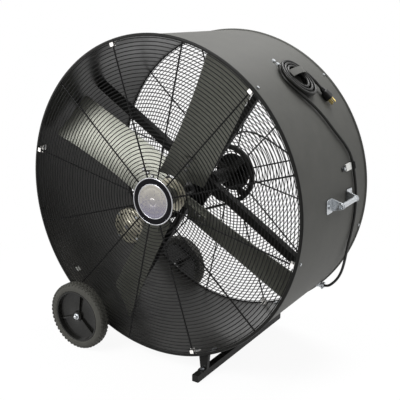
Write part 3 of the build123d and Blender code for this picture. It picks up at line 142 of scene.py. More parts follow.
def rounded(points: list[Point2], radius: float, steps: int = 3) -> list[Point2]:
    """A closed outline with its corners rounded.

    Args:
        points: the corners in order.
        radius: the most that a corner is rounded by.
        steps: segments along each rounded corner.

    Returns:
        The corners of the rounded outline.
    """
    result: list[Point2] = []
    count = len(points)
    for i, corner in enumerate(points):
        here = Vector(corner)
        before, after = Vector(points[i - 1]), Vector(points[(i + 1) % count])
        cut = min(radius, (before - here).length * 0.45, (after - here).length * 0.45)
        start = here + (before - here).normalized() * cut
        end = here + (after - here).normalized() * cut
        for step in range(steps + 1):
            t = step / steps
            spot = start * (1 - t) ** 2 + here * (2 * t * (1 - t)) + end * t**2
            result.append((spot.x, spot.y))
    return result


# ------------------------------------------------------------------ finishes


class Graph:
    """Adds nodes to a shader tree, each with its settings, constants and links."""

    COLOUR_A, COLOUR_B, COLOUR_MIX = 6, 7, 2

    def __init__(self, tree: bpy.types.NodeTree) -> None:
        """Keep the tree that gets the nodes."""
        self.tree = tree

    def add(self, kind: str, inputs: Inputs | None = None, **settings: object) -> bpy.types.Node:
        """Add one node.

        Args:
            kind: its type, without the ShaderNode in front.
            inputs: for each input a constant, or the output that feeds it.
            settings: its own settings, such as its operation.

        Returns:
            The new node.
        """
        node = self.tree.nodes.new(f"ShaderNode{kind}")
        for name, value in settings.items():
            setattr(node, name, value)
        self.feed(node, inputs or {})
        return node

    def feed(self, node: bpy.types.Node, inputs: Inputs) -> None:
        """Set each input of a node to its constant, or link it to the output that feeds it."""
        for name, value in inputs.items():
            if isinstance(value, bpy.types.NodeSocket):
                self.tree.links.new(value, node.inputs[name])
            else:
                node.inputs[name].default_value = value

    def math(self, operation: str, *values: object) -> bpy.types.NodeSocket:
        """The outcome of an operation on constants or outputs."""
        return self.add("Math", dict(enumerate(values)), operation=operation).outputs["Value"]

    def spread(self, value: bpy.types.NodeSocket, **bounds: float) -> bpy.types.NodeSocket:
        """A value brought from one range to another, each from 0 to 1 unless a bound says otherwise."""
        inputs = {name.replace("_", " ").title(): bound for name, bound in bounds.items()}
        return self.add("MapRange", {"Value": value, **inputs}).outputs["Result"]

    def mix(self, share: bpy.types.NodeSocket, first: object, second: object) -> bpy.types.NodeSocket:
        """A colour between two others."""
        inputs = {"Factor": share, self.COLOUR_A: first, self.COLOUR_B: second}
        return self.add("Mix", inputs, data_type="RGBA").outputs[self.COLOUR_MIX]

    def noise(self, place: bpy.types.NodeSocket, scale: object, **settings: float) -> bpy.types.NodeSocket:
        """Noise at a place, with its detail and roughness."""
        inputs = {name.title(): value for name, value in settings.items()}
        return self.add("TexNoise", {"Vector": place, "Scale": scale, **inputs}).outputs["Fac"]

    def place(self) -> bpy.types.NodeSocket:
        """The place on the object."""
        return self.add("TexCoord").outputs["Object"]


class Effect(Enum):
    """The surface effects that several materials share, each a node group."""

    GRAIN = "surface_grain"
    BRUSHING = "brushed_streaks"
    DUST = "settled_dust"


def new_group(effect: Effect, inputs: dict[str, object], outputs: tuple[str, ...]) -> Graph:
    """Start an effect's node group, with an input node named in and an output node named out.

    Args:
        effect: the effect that names the group.
        inputs: default of each input: a number, three for a vector or four for a colour.
        outputs: the outputs, of which Color is a colour and the others are numbers.

    Returns:
        The new group's graph.
    """
    kinds = {1: "NodeSocketFloat", 3: "NodeSocketVector", 4: "NodeSocketColor"}
    tree = bpy.data.node_groups.new(effect.value, "ShaderNodeTree")
    for name, default in inputs.items():
        size = len(default) if isinstance(default, tuple) else 1
        socket = tree.interface.new_socket(name=name, in_out="INPUT", socket_type=kinds[size])
        socket.default_value = default
    for name in outputs:
        size = 4 if name == "Color" else 1
        tree.interface.new_socket(name=name, in_out="OUTPUT", socket_type=kinds[size])
    tree.nodes.new("NodeGroupInput").name = "in"
    tree.nodes.new("NodeGroupOutput").name = "out"
    return Graph(tree)


class EffectLibrary:
    """Builds each shared effect once and hands out its node tree."""

    MOTTLE_SCALE = 14.0
    DUST_SCALE = 22.0
    DUST_COLOUR = (0.32, 0.31, 0.28, 1.0)

    def __init__(self) -> None:
        """Start with no effect built."""
        self.trees: dict[Effect, bpy.types.NodeTree] = {}

    def tree(self, effect: Effect) -> bpy.types.NodeTree:
        """The node tree of an effect, built on first use."""
        if effect not in self.trees:
            makers = {Effect.GRAIN: self.grain, Effect.BRUSHING: self.brushing, Effect.DUST: self.dust}
            self.trees[effect] = makers[effect]().tree
        return self.trees[effect]

    def grain(self) -> Graph:
        """Fine powder-coat or moulded grain as a height, with a mask of broad mottling."""
        graph = new_group(Effect.GRAIN, {"Size": 900.0}, ("Height", "Mask"))
        size, place = graph.tree.nodes["in"].outputs["Size"], graph.place()
        broad = graph.noise(place, self.MOTTLE_SCALE, detail=5.0, roughness=0.6)
        graph.feed(graph.tree.nodes["out"], {"Height": graph.noise(place, size, detail=2.0), "Mask": broad})
        return graph

    def brushing(self) -> Graph:
        """Fine streaks as a height and a mask, as on drawn, rolled or plated metal."""
        graph = new_group(Effect.BRUSHING, {"Size": 60.0, "Stretch": (12.0, 1.0, 12.0)}, ("Height", "Mask"))
        given = graph.tree.nodes["in"].outputs
        drawn = graph.add("VectorMath", {0: graph.place(), 1: given["Stretch"]}, operation="MULTIPLY")
        streaks = graph.noise(drawn.outputs["Vector"], given["Size"], detail=3.0)
        graph.feed(graph.tree.nodes["out"], {"Height": streaks, "Mask": streaks})
        return graph

    def dust(self) -> Graph:
        """Pale dust on upward faces and in patches, laid over a colour, which makes it rougher."""
        inputs = {"Color": (0.1, 0.1, 0.1, 1.0), "Dust": 0.1, "Roughness": 0.5}
        graph = new_group(Effect.DUST, inputs, ("Color", "Roughness"))
        given = graph.tree.nodes["in"].outputs
        normal = graph.add("SeparateXYZ", {"Vector": graph.add("NewGeometry").outputs["Normal"]})
        upward = graph.spread(normal.outputs["Z"], from_min=0.1, to_min=0.25)
        patches = graph.math("MULTIPLY", upward, graph.noise(graph.place(), self.DUST_SCALE, detail=6.0))
        laid = graph.add("Math", {0: patches, 1: given["Dust"]}, operation="MULTIPLY", use_clamp=True)
        amount = laid.outputs["Value"]
        graph.feed(graph.tree.nodes["out"], {
            "Color": graph.mix(amount, given["Color"], self.DUST_COLOUR),
            "Roughness": graph.math("MULTIPLY_ADD", amount, 0.4, given["Roughness"]),
        })
        return graph


EFFECTS = EffectLibrary()


def new_material(name: str) -> tuple[bpy.types.Material, Graph, bpy.types.Node]:
    """A new node material, with its graph and its Principled shader."""
    material = bpy.data.materials.new(name)
    material.use_nodes = True
    return material, Graph(material.node_tree), material.node_tree.nodes["Principled BSDF"]


@dataclass(frozen=True)
class Finish:
    """One surface finish and the record's slot that it stands for."""

    name: str
    slot: str
    colour: Colour
    roughness: float
    metallic: float = 0.0
    grain: float = 900.0
    bump: float = 0.08
    variation: float = 0.12
    dust: float = 0.08
    specular: float = 0.5
    brushed: bool = False
    stretch: Point3 = (12.0, 1.0, 12.0)
    wear: float = 0.06
    bump_height: float = 0.0006

    def shade(self, share: float) -> tuple[float, ...]:
        """The colour, darker or lighter by a share."""
        return (*(part * share for part in self.colour), 1.0)

    def material(self) -> bpy.types.Material:
        """The finish as a node material, made on first use.

        Returns:
            The Blender material.
        """
        found = bpy.data.materials.get(self.name)
        if found:
            return found
        material, graph, shader = new_material(self.name)
        if self.brushed:
            given = {"Size": self.grain, "Stretch": self.stretch}
            effect = graph.add("Group", given, node_tree=EFFECTS.tree(Effect.BRUSHING)).outputs
        else:
            effect = graph.add("Group", {"Size": self.grain}, node_tree=EFFECTS.tree(Effect.GRAIN)).outputs
        share = graph.spread(effect["Mask"], from_min=0.3, from_max=0.7)
        rough, wear = self.roughness, self.wear
        worn = graph.spread(effect["Mask"], to_min=rough - wear, to_max=rough + wear)
        colour = graph.mix(share, self.shade(1 - self.variation), self.shade(1 + self.variation))
        plain = {"Color": colour, "Dust": self.dust, "Roughness": worn}
        dusted = graph.add("Group", plain, node_tree=EFFECTS.tree(Effect.DUST)).outputs
        relief = {"Height": effect["Height"], "Strength": self.bump, "Distance": self.bump_height}
        graph.feed(shader, {
            "Base Color": dusted["Color"], "Roughness": dusted["Roughness"], "Metallic": self.metallic,
            "Specular IOR Level": self.specular, "Normal": graph.add("Bump", relief).outputs["Normal"],
        })
        return material


DRUM_PAINT = Finish(
    "drum_textured_paint", "drum_paint", (0.073, 0.073, 0.067), 0.6, grain=1400, bump=0.3, dust=0.05,
    specular=0.2,
)
INNER_PAINT = Finish(
    "drum_inner_paint", "black_paint", (0.019, 0.0185, 0.0165), 0.3, grain=1200, bump=0.1, dust=0.02,
    specular=0.42,
)
BLACK_PAINT = Finish(
    "satin_black_paint", "black_paint", (0.008, 0.008, 0.0075), 0.4, bump=0.08, dust=0.02, specular=0.09
)
WIRE_PAINT = Finish(
    "wire_black_paint", "black_paint", (0.006, 0.006, 0.006), 0.4, bump=0.05, dust=0.0, specular=0.12
)
BLADE_PAINT = Finish(
    "blade_satin_enamel", "blade_paint", (0.125, 0.127, 0.108), 0.33, metallic=0.6, grain=60, bump=0.0,
    brushed=True, stretch=(2.0, 2.0, 2.0), variation=0.1, dust=0.03,
)
# Painted reflection: the bells are satin black enamel like the can; this pale warm colour stands in for warm
# light reflected on their faces.
MOTOR_BELL_SHEEN = Finish(
    "motor_bell_painted_sheen", "motor_paint", (0.36, 0.34, 0.27), 0.42, metallic=0.7, grain=300, bump=0.15,
    variation=0.3, dust=0.03,
)
MOTOR_PAINT = Finish("motor_enamel", "motor_paint", (0.012, 0.012, 0.012), 0.4, dust=0.06, specular=0.12)
ZINC = Finish(
    "bright_zinc_plate", "zinc", (0.5, 0.52, 0.54), 0.28, metallic=1.0, grain=70, bump=0.05, brushed=True,
    stretch=(6.0, 1.5, 6.0), variation=0.22, dust=0.0,
)
# Partly painted reflection: the plate is plated steel, and its warm cream tint copies the warm light that the
# lit upper blade reflects.
HUB_PLATE = Finish(
    "hub_plate_painted_sheen", "steel", (0.62, 0.59, 0.48), 0.36, metallic=0.9, grain=60, bump=0.04, brushed=True,
    stretch=(3.0, 1.0, 3.0), variation=0.2, dust=0.02,
)
# Painted light: a paler copy of the zinc, so that the guard clips and hooks in the shade of the drum's lip
# still look bright.
ZINC_PAINTED_LIGHT = Finish(
    "zinc_clip_painted_light", "zinc", (0.85, 0.83, 0.8), 0.5, metallic=0.5, grain=200, bump=0.05, dust=0.0
)
STEEL = Finish(
    "turned_steel", "steel", (0.2, 0.2, 0.2), 0.36, metallic=1.0, grain=80, bump=0.04, brushed=True,
    stretch=(1.0, 14.0, 1.0), variation=0.15, dust=0.03,
)
CAST_METAL = Finish(
    "painted_cast_iron", "cast_metal", (0.014, 0.014, 0.013), 0.5, grain=420, bump=0.3, dust=0.04,
    specular=0.12,
)
BADGE_BLACK = Finish(
    "badge_black_ring", "badge_metal", (0.005, 0.005, 0.006), 0.3, bump=0.04, dust=0.0, specular=0.05
)
BADGE_BRIGHT = Finish(
    "badge_bright_rim", "badge_metal", (0.5, 0.5, 0.52), 0.2, metallic=1.0, bump=0.03, dust=0.0
)
BELT_RUBBER = Finish(
    "moulded_belt_rubber", "belt_rubber", (0.01, 0.01, 0.01), 0.65, grain=800, bump=0.2, specular=0.3
)
TYRE_RUBBER = Finish(
    "dusty_tyre_rubber", "tyre_rubber", (0.037, 0.0365, 0.031), 0.66, grain=700, bump=0.3, dust=0.06,
    specular=0.28,
)
WHEEL_PLASTIC = Finish(
    "wheel_moulded", "wheel_plastic", (0.007, 0.007, 0.0063), 0.18, grain=1300, bump=0.06, dust=0.015,
    specular=0.25,
)
BLACK_PLASTIC = Finish(
    "black_moulded", "black_plastic", (0.008, 0.008, 0.008), 0.34, grain=1300, bump=0.1, dust=0.02,
    specular=0.12,
)
WHITE_NYLON = Finish(
    "white_clip_nylon", "white_nylon", (0.84, 0.84, 0.81), 0.45, grain=900, bump=0.05, dust=0.02
)
CORD_JACKET = Finish(
    "cord_outer_rubber", "cord_jacket", (0.009, 0.009, 0.008), 0.4, grain=500, bump=0.06, dust=0.0,
    specular=0.22,
)
BRASS = Finish(
    "brass_blades", "brass", (0.7, 0.55, 0.2), 0.28, metallic=1.0, grain=90, bump=0.04, brushed=True
)


@dataclass(frozen=True)
class BadgeFinish:
    """Metal of the badge's middle, brushed round its own centre, with a painted sheen that makes it lighter
    and warmer towards its top, as if lit from above.
    """

    name: str = "badge_round_brushed"
    slot: str = "badge_metal"
    colour: Colour = (0.22, 0.21, 0.27)
    sheen_colour: Colour = (0.42, 0.4, 0.35)
    streaks_round: float = 26.0
    streaks_out: float = 90.0
    lean: float = 3.2

    def material(self) -> bpy.types.Material:
        """The finish as a node material, made on first use.

        Returns:
            The Blender material.
        """
        found = bpy.data.materials.get(self.name)
        if found:
            return found
        material, graph, shader = new_material(self.name)
        middle = (FAN_X * MM, 0, AXIS_Z * MM)
        spot = graph.add("VectorMath", {0: graph.place(), 1: middle}, operation="SUBTRACT").outputs["Vector"]
        split = graph.add("SeparateXYZ", {"Vector": spot}).outputs
        flat = graph.add("CombineXYZ", {"X": split["X"], "Z": split["Z"]}).outputs["Vector"]
        reach = graph.add("VectorMath", {0: flat}, operation="LENGTH").outputs["Value"]
        turn = graph.math("ARCTAN2", split["X"], split["Z"])
        polar = graph.add("CombineXYZ", {
            "X": graph.math("MULTIPLY", turn, self.streaks_round),
            "Y": graph.math("MULTIPLY", reach, self.streaks_out),
        })
        streaks = graph.noise(polar.outputs["Vector"], 1.0, detail=3.0)
        # Painted sheen: the colour turns lighter and warmer with height, standing in for light from above.
        sheen_rise = graph.math("MULTIPLY_ADD", split["Z"], self.lean, streaks)
        sheen = graph.spread(sheen_rise, from_min=0.35, from_max=0.65)
        relief = graph.add("Bump", {"Height": streaks, "Strength": 0.06, "Distance": 0.0005})
        graph.feed(shader, {
            "Base Color": graph.mix(sheen, (*self.colour, 1.0), (*self.sheen_colour, 1.0)),
            "Roughness": graph.spread(streaks, to_min=0.22, to_max=0.36),
            "Metallic": 1.0,
            "Normal": relief.outputs["Normal"],
        })
        return material


# ------------------------------------------------------------------ meshes


@dataclass
class Draft:
    """Points and faces of one piece, in millimetres, before it becomes an object."""

    points: list[Vector] = field(default_factory=list)
    faces: list[tuple[int, ...]] = field(default_factory=list)
    marks: list[int] = field(default_factory=list)

    def strip(self, first: list[int], second: list[int], mark: int = 0, closed: bool = True) -> None:
        """Join two rows of points by quads, or by triangles where one row is a single point.

        Args:
            first: indices of the first row.
            second: indices of the second row.
            mark: index of the finish for these faces.
            closed: whether the rows run round to their start.
        """
        count = max(len(first), len(second))
        for i in range(count if closed else count - 1):
            j = (i + 1) % count
            if len(first) == 1:
                face = (first[0], second[i], second[j])
            elif len(second) == 1:
                face = (first[i], second[0], first[j])
            else:
                face = (first[i], second[i], second[j], first[j])
            self.faces.append(face)
            self.marks.append(mark)

    def row(self, points: list[Vector]) -> list[int]:
        """Add a row of points and give their indices."""
        start = len(self.points)
        self.points.extend(points)
        return list(range(start, start + len(points)))

    def cap(self, row: list[int], mark: int = 0) -> None:
        """Close a row of points with one face."""
        self.faces.append(tuple(row))
        self.marks.append(mark)

    def lathe(
        self, profile: list[Point2], segments: int, x: float = 0.0, z: float = 0.0,
        marks: list[int] | None = None,
    ) -> "Draft":
        """Revolve a closed outline of (depth, radius) about an axis along Y.

        Args:
            profile: the outline's corners, in order.
            segments: segments round the axis.
            x: the axis's place right of the fan axis.
            z: the axis's place above the fan axis.
            marks: index of the finish of each outline edge.

        Returns:
            The draft itself.
        """
        rows = []
        for depth, radius in profile:
            turns = (360 * i / segments for i in range(segments if radius else 1))
            ring = [clock(turn, radius) for turn in turns]
            rows.append(self.row([inside(x + right, z + up, depth) for right, up in ring]))
        for i, first in enumerate(rows):
            second = rows[(i + 1) % len(rows)]
            if len(first) > 1 or len(second) > 1:
                self.strip(first, second, marks[i] if marks else 0)
        return self

    def loft(self, rows: list[list[int]], mark: int = 0, closed: bool = False) -> "Draft":
        """Join rows of points one after another.

        Args:
            rows: the rows, by the indices of their points.
            mark: index of the finish.
            closed: whether the last row joins the first; otherwise both get a cap.

        Returns:
            The draft itself.
        """
        for first, second in zip(rows, rows[1:] + (rows[:1] if closed else [])):
            self.strip(first, second, mark)
        if not closed:
            self.cap(rows[0][::-1], mark)
            self.cap(rows[-1], mark)
        return self

    def prism(
        self, place: Matrix, outline: list[Point2], low: float, high: float, bevel: float = 0.0, mark: int = 0
    ) -> "Draft":
        """Stand an outline up between two heights, with its end edges bevelled.

        Args:
            place: frame that the outline is drawn in.
            outline: corners of the outline.
            low: height of the bottom face.
            high: height of the top face.
            bevel: width of the bevel, or 0.
            mark: index of the finish.

        Returns:
            The draft itself.
        """
        centre = sum((Vector(p) for p in outline), Vector((0, 0))) / len(outline)
        levels = [(low, 1.0), (high, 1.0)]
        if bevel:
            small = 1 - bevel / min((Vector(p) - centre).length for p in outline)
            levels = [(low, small), (low + bevel, 1.0), (high - bevel, 1.0), (high, small)]
        rows = []
        for height, scale in levels:
            spots = [centre + (Vector(p) - centre) * scale for p in outline]
            rows.append(self.row([place @ Vector((p.x, p.y, height)) for p in spots]))
        return self.loft(rows, mark)

    def tube(
        self, path: list[Vector], radius: float | list[float], sides: int, closed: bool = False
    ) -> "Draft":
        """Run a round tube along a path.

        Args:
            path: points of the centreline.
            radius: the tube's radius, or one for each point.
            sides: sides of the section.
            closed: whether the path runs round to its start.

        Returns:
            The draft itself.
        """
        count = len(path)
        radii = radius if isinstance(radius, list) else [radius] * count
        normal = Vector((0, 0, 1))
        rows = []
        for i, here in enumerate(path):
            before = path[i - 1] if i or closed else here
            after = path[(i + 1) % count] if i < count - 1 or closed else here
            way = (after - before).normalized()
            if i == 0 and abs(way.dot(normal)) > 0.9:
                normal = Vector((1, 0, 0))
            normal = (normal - way * normal.dot(way)).normalized()
            side = way.cross(normal)
            turns = (2 * math.pi * k / sides for k in range(sides))
            ring = [here + (normal * math.cos(t) + side * math.sin(t)) * radii[i] for t in turns]
            rows.append(self.row(ring))
        return self.loft(rows, closed=closed)

    def build(
        self, name: str, finishes: list[Finish | BadgeFinish], body: str = "root",
        replaces: tuple[str, ...] = (), crease: float = 32.0,
    ) -> bpy.types.Object:
        """Turn the draft into an object that rides on a body.

        Args:
            name: the piece's name.
            finishes: its finishes, in the order of the faces' marks.
            body: the CAD body it rides on.
            replaces: CAD nodes that it stands for.
            crease: angle in degrees above which an edge stays sharp.

        Returns:
            The new object.
        """
        mesh = bpy.data.meshes.new(name)
        mesh.from_pydata([tuple(p * MM) for p in self.points], [], self.faces)
        for finish in finishes:
            mesh.materials.append(finish.material())
        mesh.polygons.foreach_set("material_index", self.marks)
        mesh.polygons.foreach_set("use_smooth", [True] * len(mesh.polygons))
        mesh.validate()
        turn_outwards(mesh)
        mesh.set_sharp_from_angle(angle=math.radians(crease))
        return settle(link(bpy.data.objects.new(name, mesh)), body, replaces)


def turn_outwards(mesh: bpy.types.Mesh) -> None:
    """Turn all faces of a closed mesh outwards."""
    work = bmesh.new()
    work.from_mesh(mesh)
    bmesh.ops.recalc_face_normals(work, faces=work.faces)
    work.to_mesh(mesh)
    work.free()


def link(piece: bpy.types.Object) -> bpy.types.Object:
    """Put a new object into the scene."""
    bpy.context.scene.collection.objects.link(piece)
    return piece


def settle(
    piece: bpy.types.Object, body: str, replaces: tuple[str, ...]
) -> bpy.types.Object:
    """Give a piece its body and the nodes that it stands for.

    Args:
        piece: the new object.
        body: the CAD body it rides on.
        replaces: CAD nodes that it stands for.

    Returns:
        The piece.
    """
    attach(piece, body)
    if replaces:
        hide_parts(*replaces)
    log.info("%s on %s", piece.name, body)
    return piece


def dress(finish: Finish, *nodes: str) -> None:
    """Give CAD nodes their finish."""
    for node in nodes:
        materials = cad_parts[node].data.materials
        materials.clear()
        materials.append(finish.material())
        log.info("%s in %s", node, finish.name)


def polygon(radius: float, sides: int) -> list[Point2]:
    """Corners of a regular polygon."""
    turns = (2 * math.pi * i / sides for i in range(sides))
    return [(radius * math.cos(t), radius * math.sin(t)) for t in turns]


def rectangle(width: float, height: float, x: float = 0.0, y: float = 0.0) -> list[Point2]:
    """Corners of a rectangle about (x, y)."""
    w, h = width / 2, height / 2
    return [(x - w, y - h), (x + w, y - h), (x + w, y + h), (x - w, y + h)]


def arc(x: float, y: float, radius: float, start: float, sweep: float, steps: int) -> list[Point2]:
    """Points along an arc about (x, y), with its start and sweep in degrees."""
    turns = (math.radians(start + sweep * i / steps) for i in range(steps + 1))
    return [(x + radius * math.cos(t), y + radius * math.sin(t)) for t in turns]


# ------------------------------------------------------------------ studio


@dataclass(frozen=True)
class Lamp:
    """A square soft lamp: where it stands and aims, its side in metres and its power in watts."""

    name: str
    place: Point3
    aim: Point3
    size: float
    watts: float

    def build(self) -> None:
        """Place the lamp."""
        data = bpy.data.lights.new(self.name, "AREA")
        data.size, data.energy = self.size, self.watts
        lamp = link(bpy.data.objects.new(self.name, data))
        lamp.location = self.place
        lamp.rotation_euler = (Vector(self.aim) - Vector(self.place)).to_track_quat("-Z", "Y").to_euler()


LAMPS = (
    Lamp("lamp_front", (-0.75, -2.6, 2.6), (0.0, 0.0, 0.6), 1.6, 108),
    Lamp("lamp_rear", (0.3, 1.5, 3.6), (0.0, 0.0, 0.7), 1.6, 100),
    Lamp("lamp_right", (2.2, 1.5, 2.6), (0.2, 0.0, 0.7), 0.7, 16),
    Lamp("lamp_left", (-3.0, -1.6, 1.6), (0.0, 0.0, 0.5), 1.6, 26),
)


@dataclass
class Studio:
    """Camera at the photograph's place, plain soft lamps, white floor and world."""

    camera_place: Point3 = (1.3668, -2.0911, 1.2438)
    camera_tilt: float = 74.49
    camera_turn: float = 33.30
    focal_pixels: float = 697.68
    image_width: float = 400.0
    sensor: float = 36.0
    sky: float = 0.3
    floor_half: float = 9.0
    floor_height: float = -0.0004
    shadow_start: float = 0.5
    shadow_end: float = 1.5
    floor_glow: float = 0.93

    def build(self) -> None:
        """Make the camera, the world, the lamps and the floor."""
        self.make_camera()
        self.make_world()
        for lamp in LAMPS:
            lamp.build()
        self.make_floor()
        bpy.context.scene.view_settings.view_transform = "Standard"
        log.info("studio ready")

    def make_camera(self) -> None:
        """Place the camera as the photograph was taken."""
        data = bpy.data.cameras.new("camera")
        data.sensor_width = self.sensor
        data.lens = self.focal_pixels / self.image_width * self.sensor
        camera = link(bpy.data.objects.new("camera", data))
        camera.location = self.camera_place
        camera.rotation_euler = (math.radians(self.camera_tilt), 0, math.radians(self.camera_turn))
        bpy.context.scene.camera = camera

    def make_world(self) -> None:
        """White for the eye and for reflections, softer as a light."""
        world = bpy.data.worlds.new("white_studio")
        world.use_nodes = True
        bpy.context.scene.world = world
        graph = Graph(world.node_tree)
        rays = graph.add("LightPath").outputs
        eye = graph.math("MAXIMUM", rays["Is Camera Ray"], rays["Is Glossy Ray"])
        seen = graph.math("MAXIMUM", eye, rays["Is Transmission Ray"])
        level = graph.spread(seen, to_min=self.sky)
        graph.feed(world.node_tree.nodes["Background"], {"Color": WHITE, "Strength": level})

    def make_floor(self) -> None:
        """Lay the floor, white for the eye and for reflections, which keeps a faint shadow."""
        mesh = bpy.data.meshes.new("floor")
        corners = rectangle(2 * self.floor_half, 2 * self.floor_half)
        mesh.from_pydata([(x, y, self.floor_height) for x, y in corners], [], [(0, 1, 2, 3)])
        material, graph, shader = new_material("white_floor")
        graph.feed(shader, {"Base Color": WHITE, "Roughness": 0.9})
        rays = graph.add("LightPath").outputs
        seen = graph.math("MAXIMUM", rays["Is Camera Ray"], rays["Is Glossy Ray"])
        reach = graph.add("VectorMath", {0: graph.place()}, operation="LENGTH").outputs["Value"]
        bounds = {"From Min": self.shadow_start, "From Max": self.shadow_end, "To Min": self.floor_glow}
        fade = graph.add("MapRange", {"Value": reach, **bounds}, interpolation_type="SMOOTHSTEP")
        share = graph.math("MULTIPLY", seen, fade.outputs["Result"])
        glow = graph.add("Emission", {"Color": WHITE})
        mix = graph.add("MixShader", {"Fac": share, 1: shader.outputs["BSDF"], 2: glow.outputs["Emission"]})
        graph.feed(material.node_tree.nodes["Material Output"], {"Surface": mix.outputs["Shader"]})
        mesh.materials.append(material)
        link(bpy.data.objects.new("floor", mesh))


# ------------------------------------------------------------------ cord


def nurbs_tube(name: str, route: list[Vector], diameter: float, finish: Finish) -> bpy.types.Object:
    """A round cord on one smooth NURBS spline.

    Args:
        name: the piece's name.
        route: its control points, in millimetres.
        diameter: its diameter in millimetres.
        finish: its finish.

    Returns:
        The curve object.
    """
    curve = bpy.data.curves.new(name, "CURVE")
    curve.dimensions = "3D"
    curve.bevel_depth = diameter / 2 * MM
    curve.bevel_resolution = 4
    curve.resolution_u = 8
    curve.use_fill_caps = True
    spline = curve.splines.new("NURBS")
    spline.points.add(len(route) - 1)
    for spot, point in zip(spline.points, route):
        spot.co = (*(point * MM), 1.0)
    spline.order_u = 3
    spline.use_endpoint_u = True
    curve.materials.append(finish.material())
    return link(bpy.data.objects.new(name, curve))


@dataclass
class SupplyCord:
    """The cord from its strain relief, through its clip, into the hank and out to the plug."""

    diameter: float = 10.0
    relief_angle: float = 134.0
    relief_depth: float = 516.0
    relief_tilt: float = 45.0
    relief_length: float = 22.0
    collar_height: float = 7.0
    cord_radius: float = SHELL_RADIUS + 7.5
    clip_angle: float = 77.8
    clip_depth: float = 411.0
    clip_radius: float = 563.3
    clip_bore: float = 6.4
    clip_sheet: float = 1.8
    clip_width: float = 24.0
    clip_foot: float = 358.0
    hank_angle: float = 43.0
    hank_depth: float = 292.0
    hank_lift: float = 6.8
    hank_tilt: float = 18.0
    hank_outer: float = 70.0
    hank_pitch: float = 12.0
    hank_layer: float = 11.0
    hank_fan: float = 22.0
    hank_entry: float = 26.0
    hank_exit: float = 20.0
    half_turns: int = 13
    half_turn_points: int = 6
    plug_angle: float = 51.7
    plug_depth: float = 400.0
    plug_tilt: float = 18.0
    plug_length: float = 32.0
    plug_width: float = 34.0
    plug_height: float = 26.0
    pin_length: float = 21.0
    neck_length: float = 14.0
    cord_length: float = 3.27
    lead_length: float = 1.45
    lead_diameter: float = 6.0
    lead_end: float = 547.647

    def build(self) -> None:
        """Make the cord first, then its plug, the motor's lead, the strain relief and the clip."""
        place = wall_frame(self.hank_angle, self.hank_depth, SHELL_RADIUS + self.hank_lift, self.hank_tilt)
        hank, tail_start = self.hank_route(place)
        route = self.run_route(hank[0], place) + hank + self.tail_route(tail_start, place)
        cord = nurbs_tube("supply_cord", route, self.diameter, CORD_JACKET)
        settle(cord, "root", ("cord_run", "cord_hank", "cord_tail"))
        plug = self.make_plug()
        blades = self.make_plug_blades()
        self.make_lead()
        self.make_relief()
        self.make_clip()
        dress(DRUM_PAINT, "cord_hook")
        dress(ZINC, "cord_clip_screw")

    def relief_line(self) -> tuple[Vector, Vector]:
        """Start and direction of the cord where it leaves the strain relief."""
        seat = wall_frame(self.relief_angle, self.relief_depth, SHELL_RADIUS + SEAT)
        out, along = seat.col[2].to_3d(), seat.col[0].to_3d()
        tilt = math.radians(self.relief_tilt)
        way = out * math.cos(tilt) - along * math.sin(tilt)
        pivot = seat @ Vector((0, 0, self.collar_height / 2))
        return pivot + way * self.relief_length, way

    def run_route(self, hank_start: Vector, place: Matrix) -> list[Vector]:
        """Control points from the strain relief over the clip to the hank."""
        leave, way = self.relief_line()
        level, clip = self.cord_radius, self.clip_radius
        spots = [
            (129.8, 515, 588), (127.1, 512, 590), (123.4, 503, 587.5), (119.2, 489, 579.5), (114.6, 470, 571),
            (109.4, 450, 565), (103.2, 438, level), (95.5, 432, level), (87.4, 424, level),
            (81.0, self.clip_depth + 1, clip), (74.6, self.clip_depth - 1, clip), (69.6, 380, level),
            (65.0, 340, level), (59.6, 309, level), (56.1, 289, level), (53.2, 269, level),
        ]
        enter = hank_start + place.col[0].to_3d() * self.hank_entry
        return [leave, leave + way * 13, *(on_drum(*spot) for spot in spots), enter]

    def hank_route(self, place: Matrix) -> tuple[list[Vector], Vector]:
        """Control points of the hank's turns: in on the lower layer, out on the upper.

        Args:
            place: the hank's own frame on the drum.

        Returns:
            The points, in order, and the point where the tail leaves.
        """
        turns, count = self.half_turns, self.half_turn_points
        middle = turns // 2
        lanes = [self.hank_outer - self.hank_pitch / 2 * min(i, turns - 1 - i) for i in range(turns)]
        level, lane = 0.0, -self.hank_outer
        points = [Vector((self.hank_entry, lane, level))]
        swell = 1 / (0.75 + 0.25 * math.cos(math.pi / count))
        for i, radius in enumerate(lanes):
            way = 1 if i % 2 else -1
            shift = self.hank_fan * (radius - lanes[middle]) / self.hank_outer if way > 0 else 0
            rise = self.hank_layer if i == middle else 0.0
            for k in range(count):
                t = math.pi * (k + 0.5) / count
                x = shift + way * radius * swell * math.sin(t)
                y = lane - way * radius + way * radius * swell * math.cos(t)
                points.append(Vector((x, y, level + rise * (k + 0.5) / count)))
            lane -= way * 2 * radius
            level += rise
        return [place @ p for p in points], place @ Vector((self.hank_exit, lane, level))

    def tail_route(self, start: Vector, place: Matrix) -> list[Vector]:
        """Control points from the hank to the back of the plug."""
        plug = self.plug_frame()
        back = plug @ Vector((-self.plug_length / 2 - self.neck_length, 0, 0))
        return [start, start + place.col[0].to_3d() * 18, back - plug.col[0].to_3d() * 18, back]

    def plug_frame(self) -> Matrix:
        """Frame at the middle of the plug: x towards its blades, z away from the drum."""
        radius = SHELL_RADIUS + 0.2 + self.plug_height / 2
        return wall_frame(self.plug_angle, self.plug_depth, radius, self.plug_tilt)

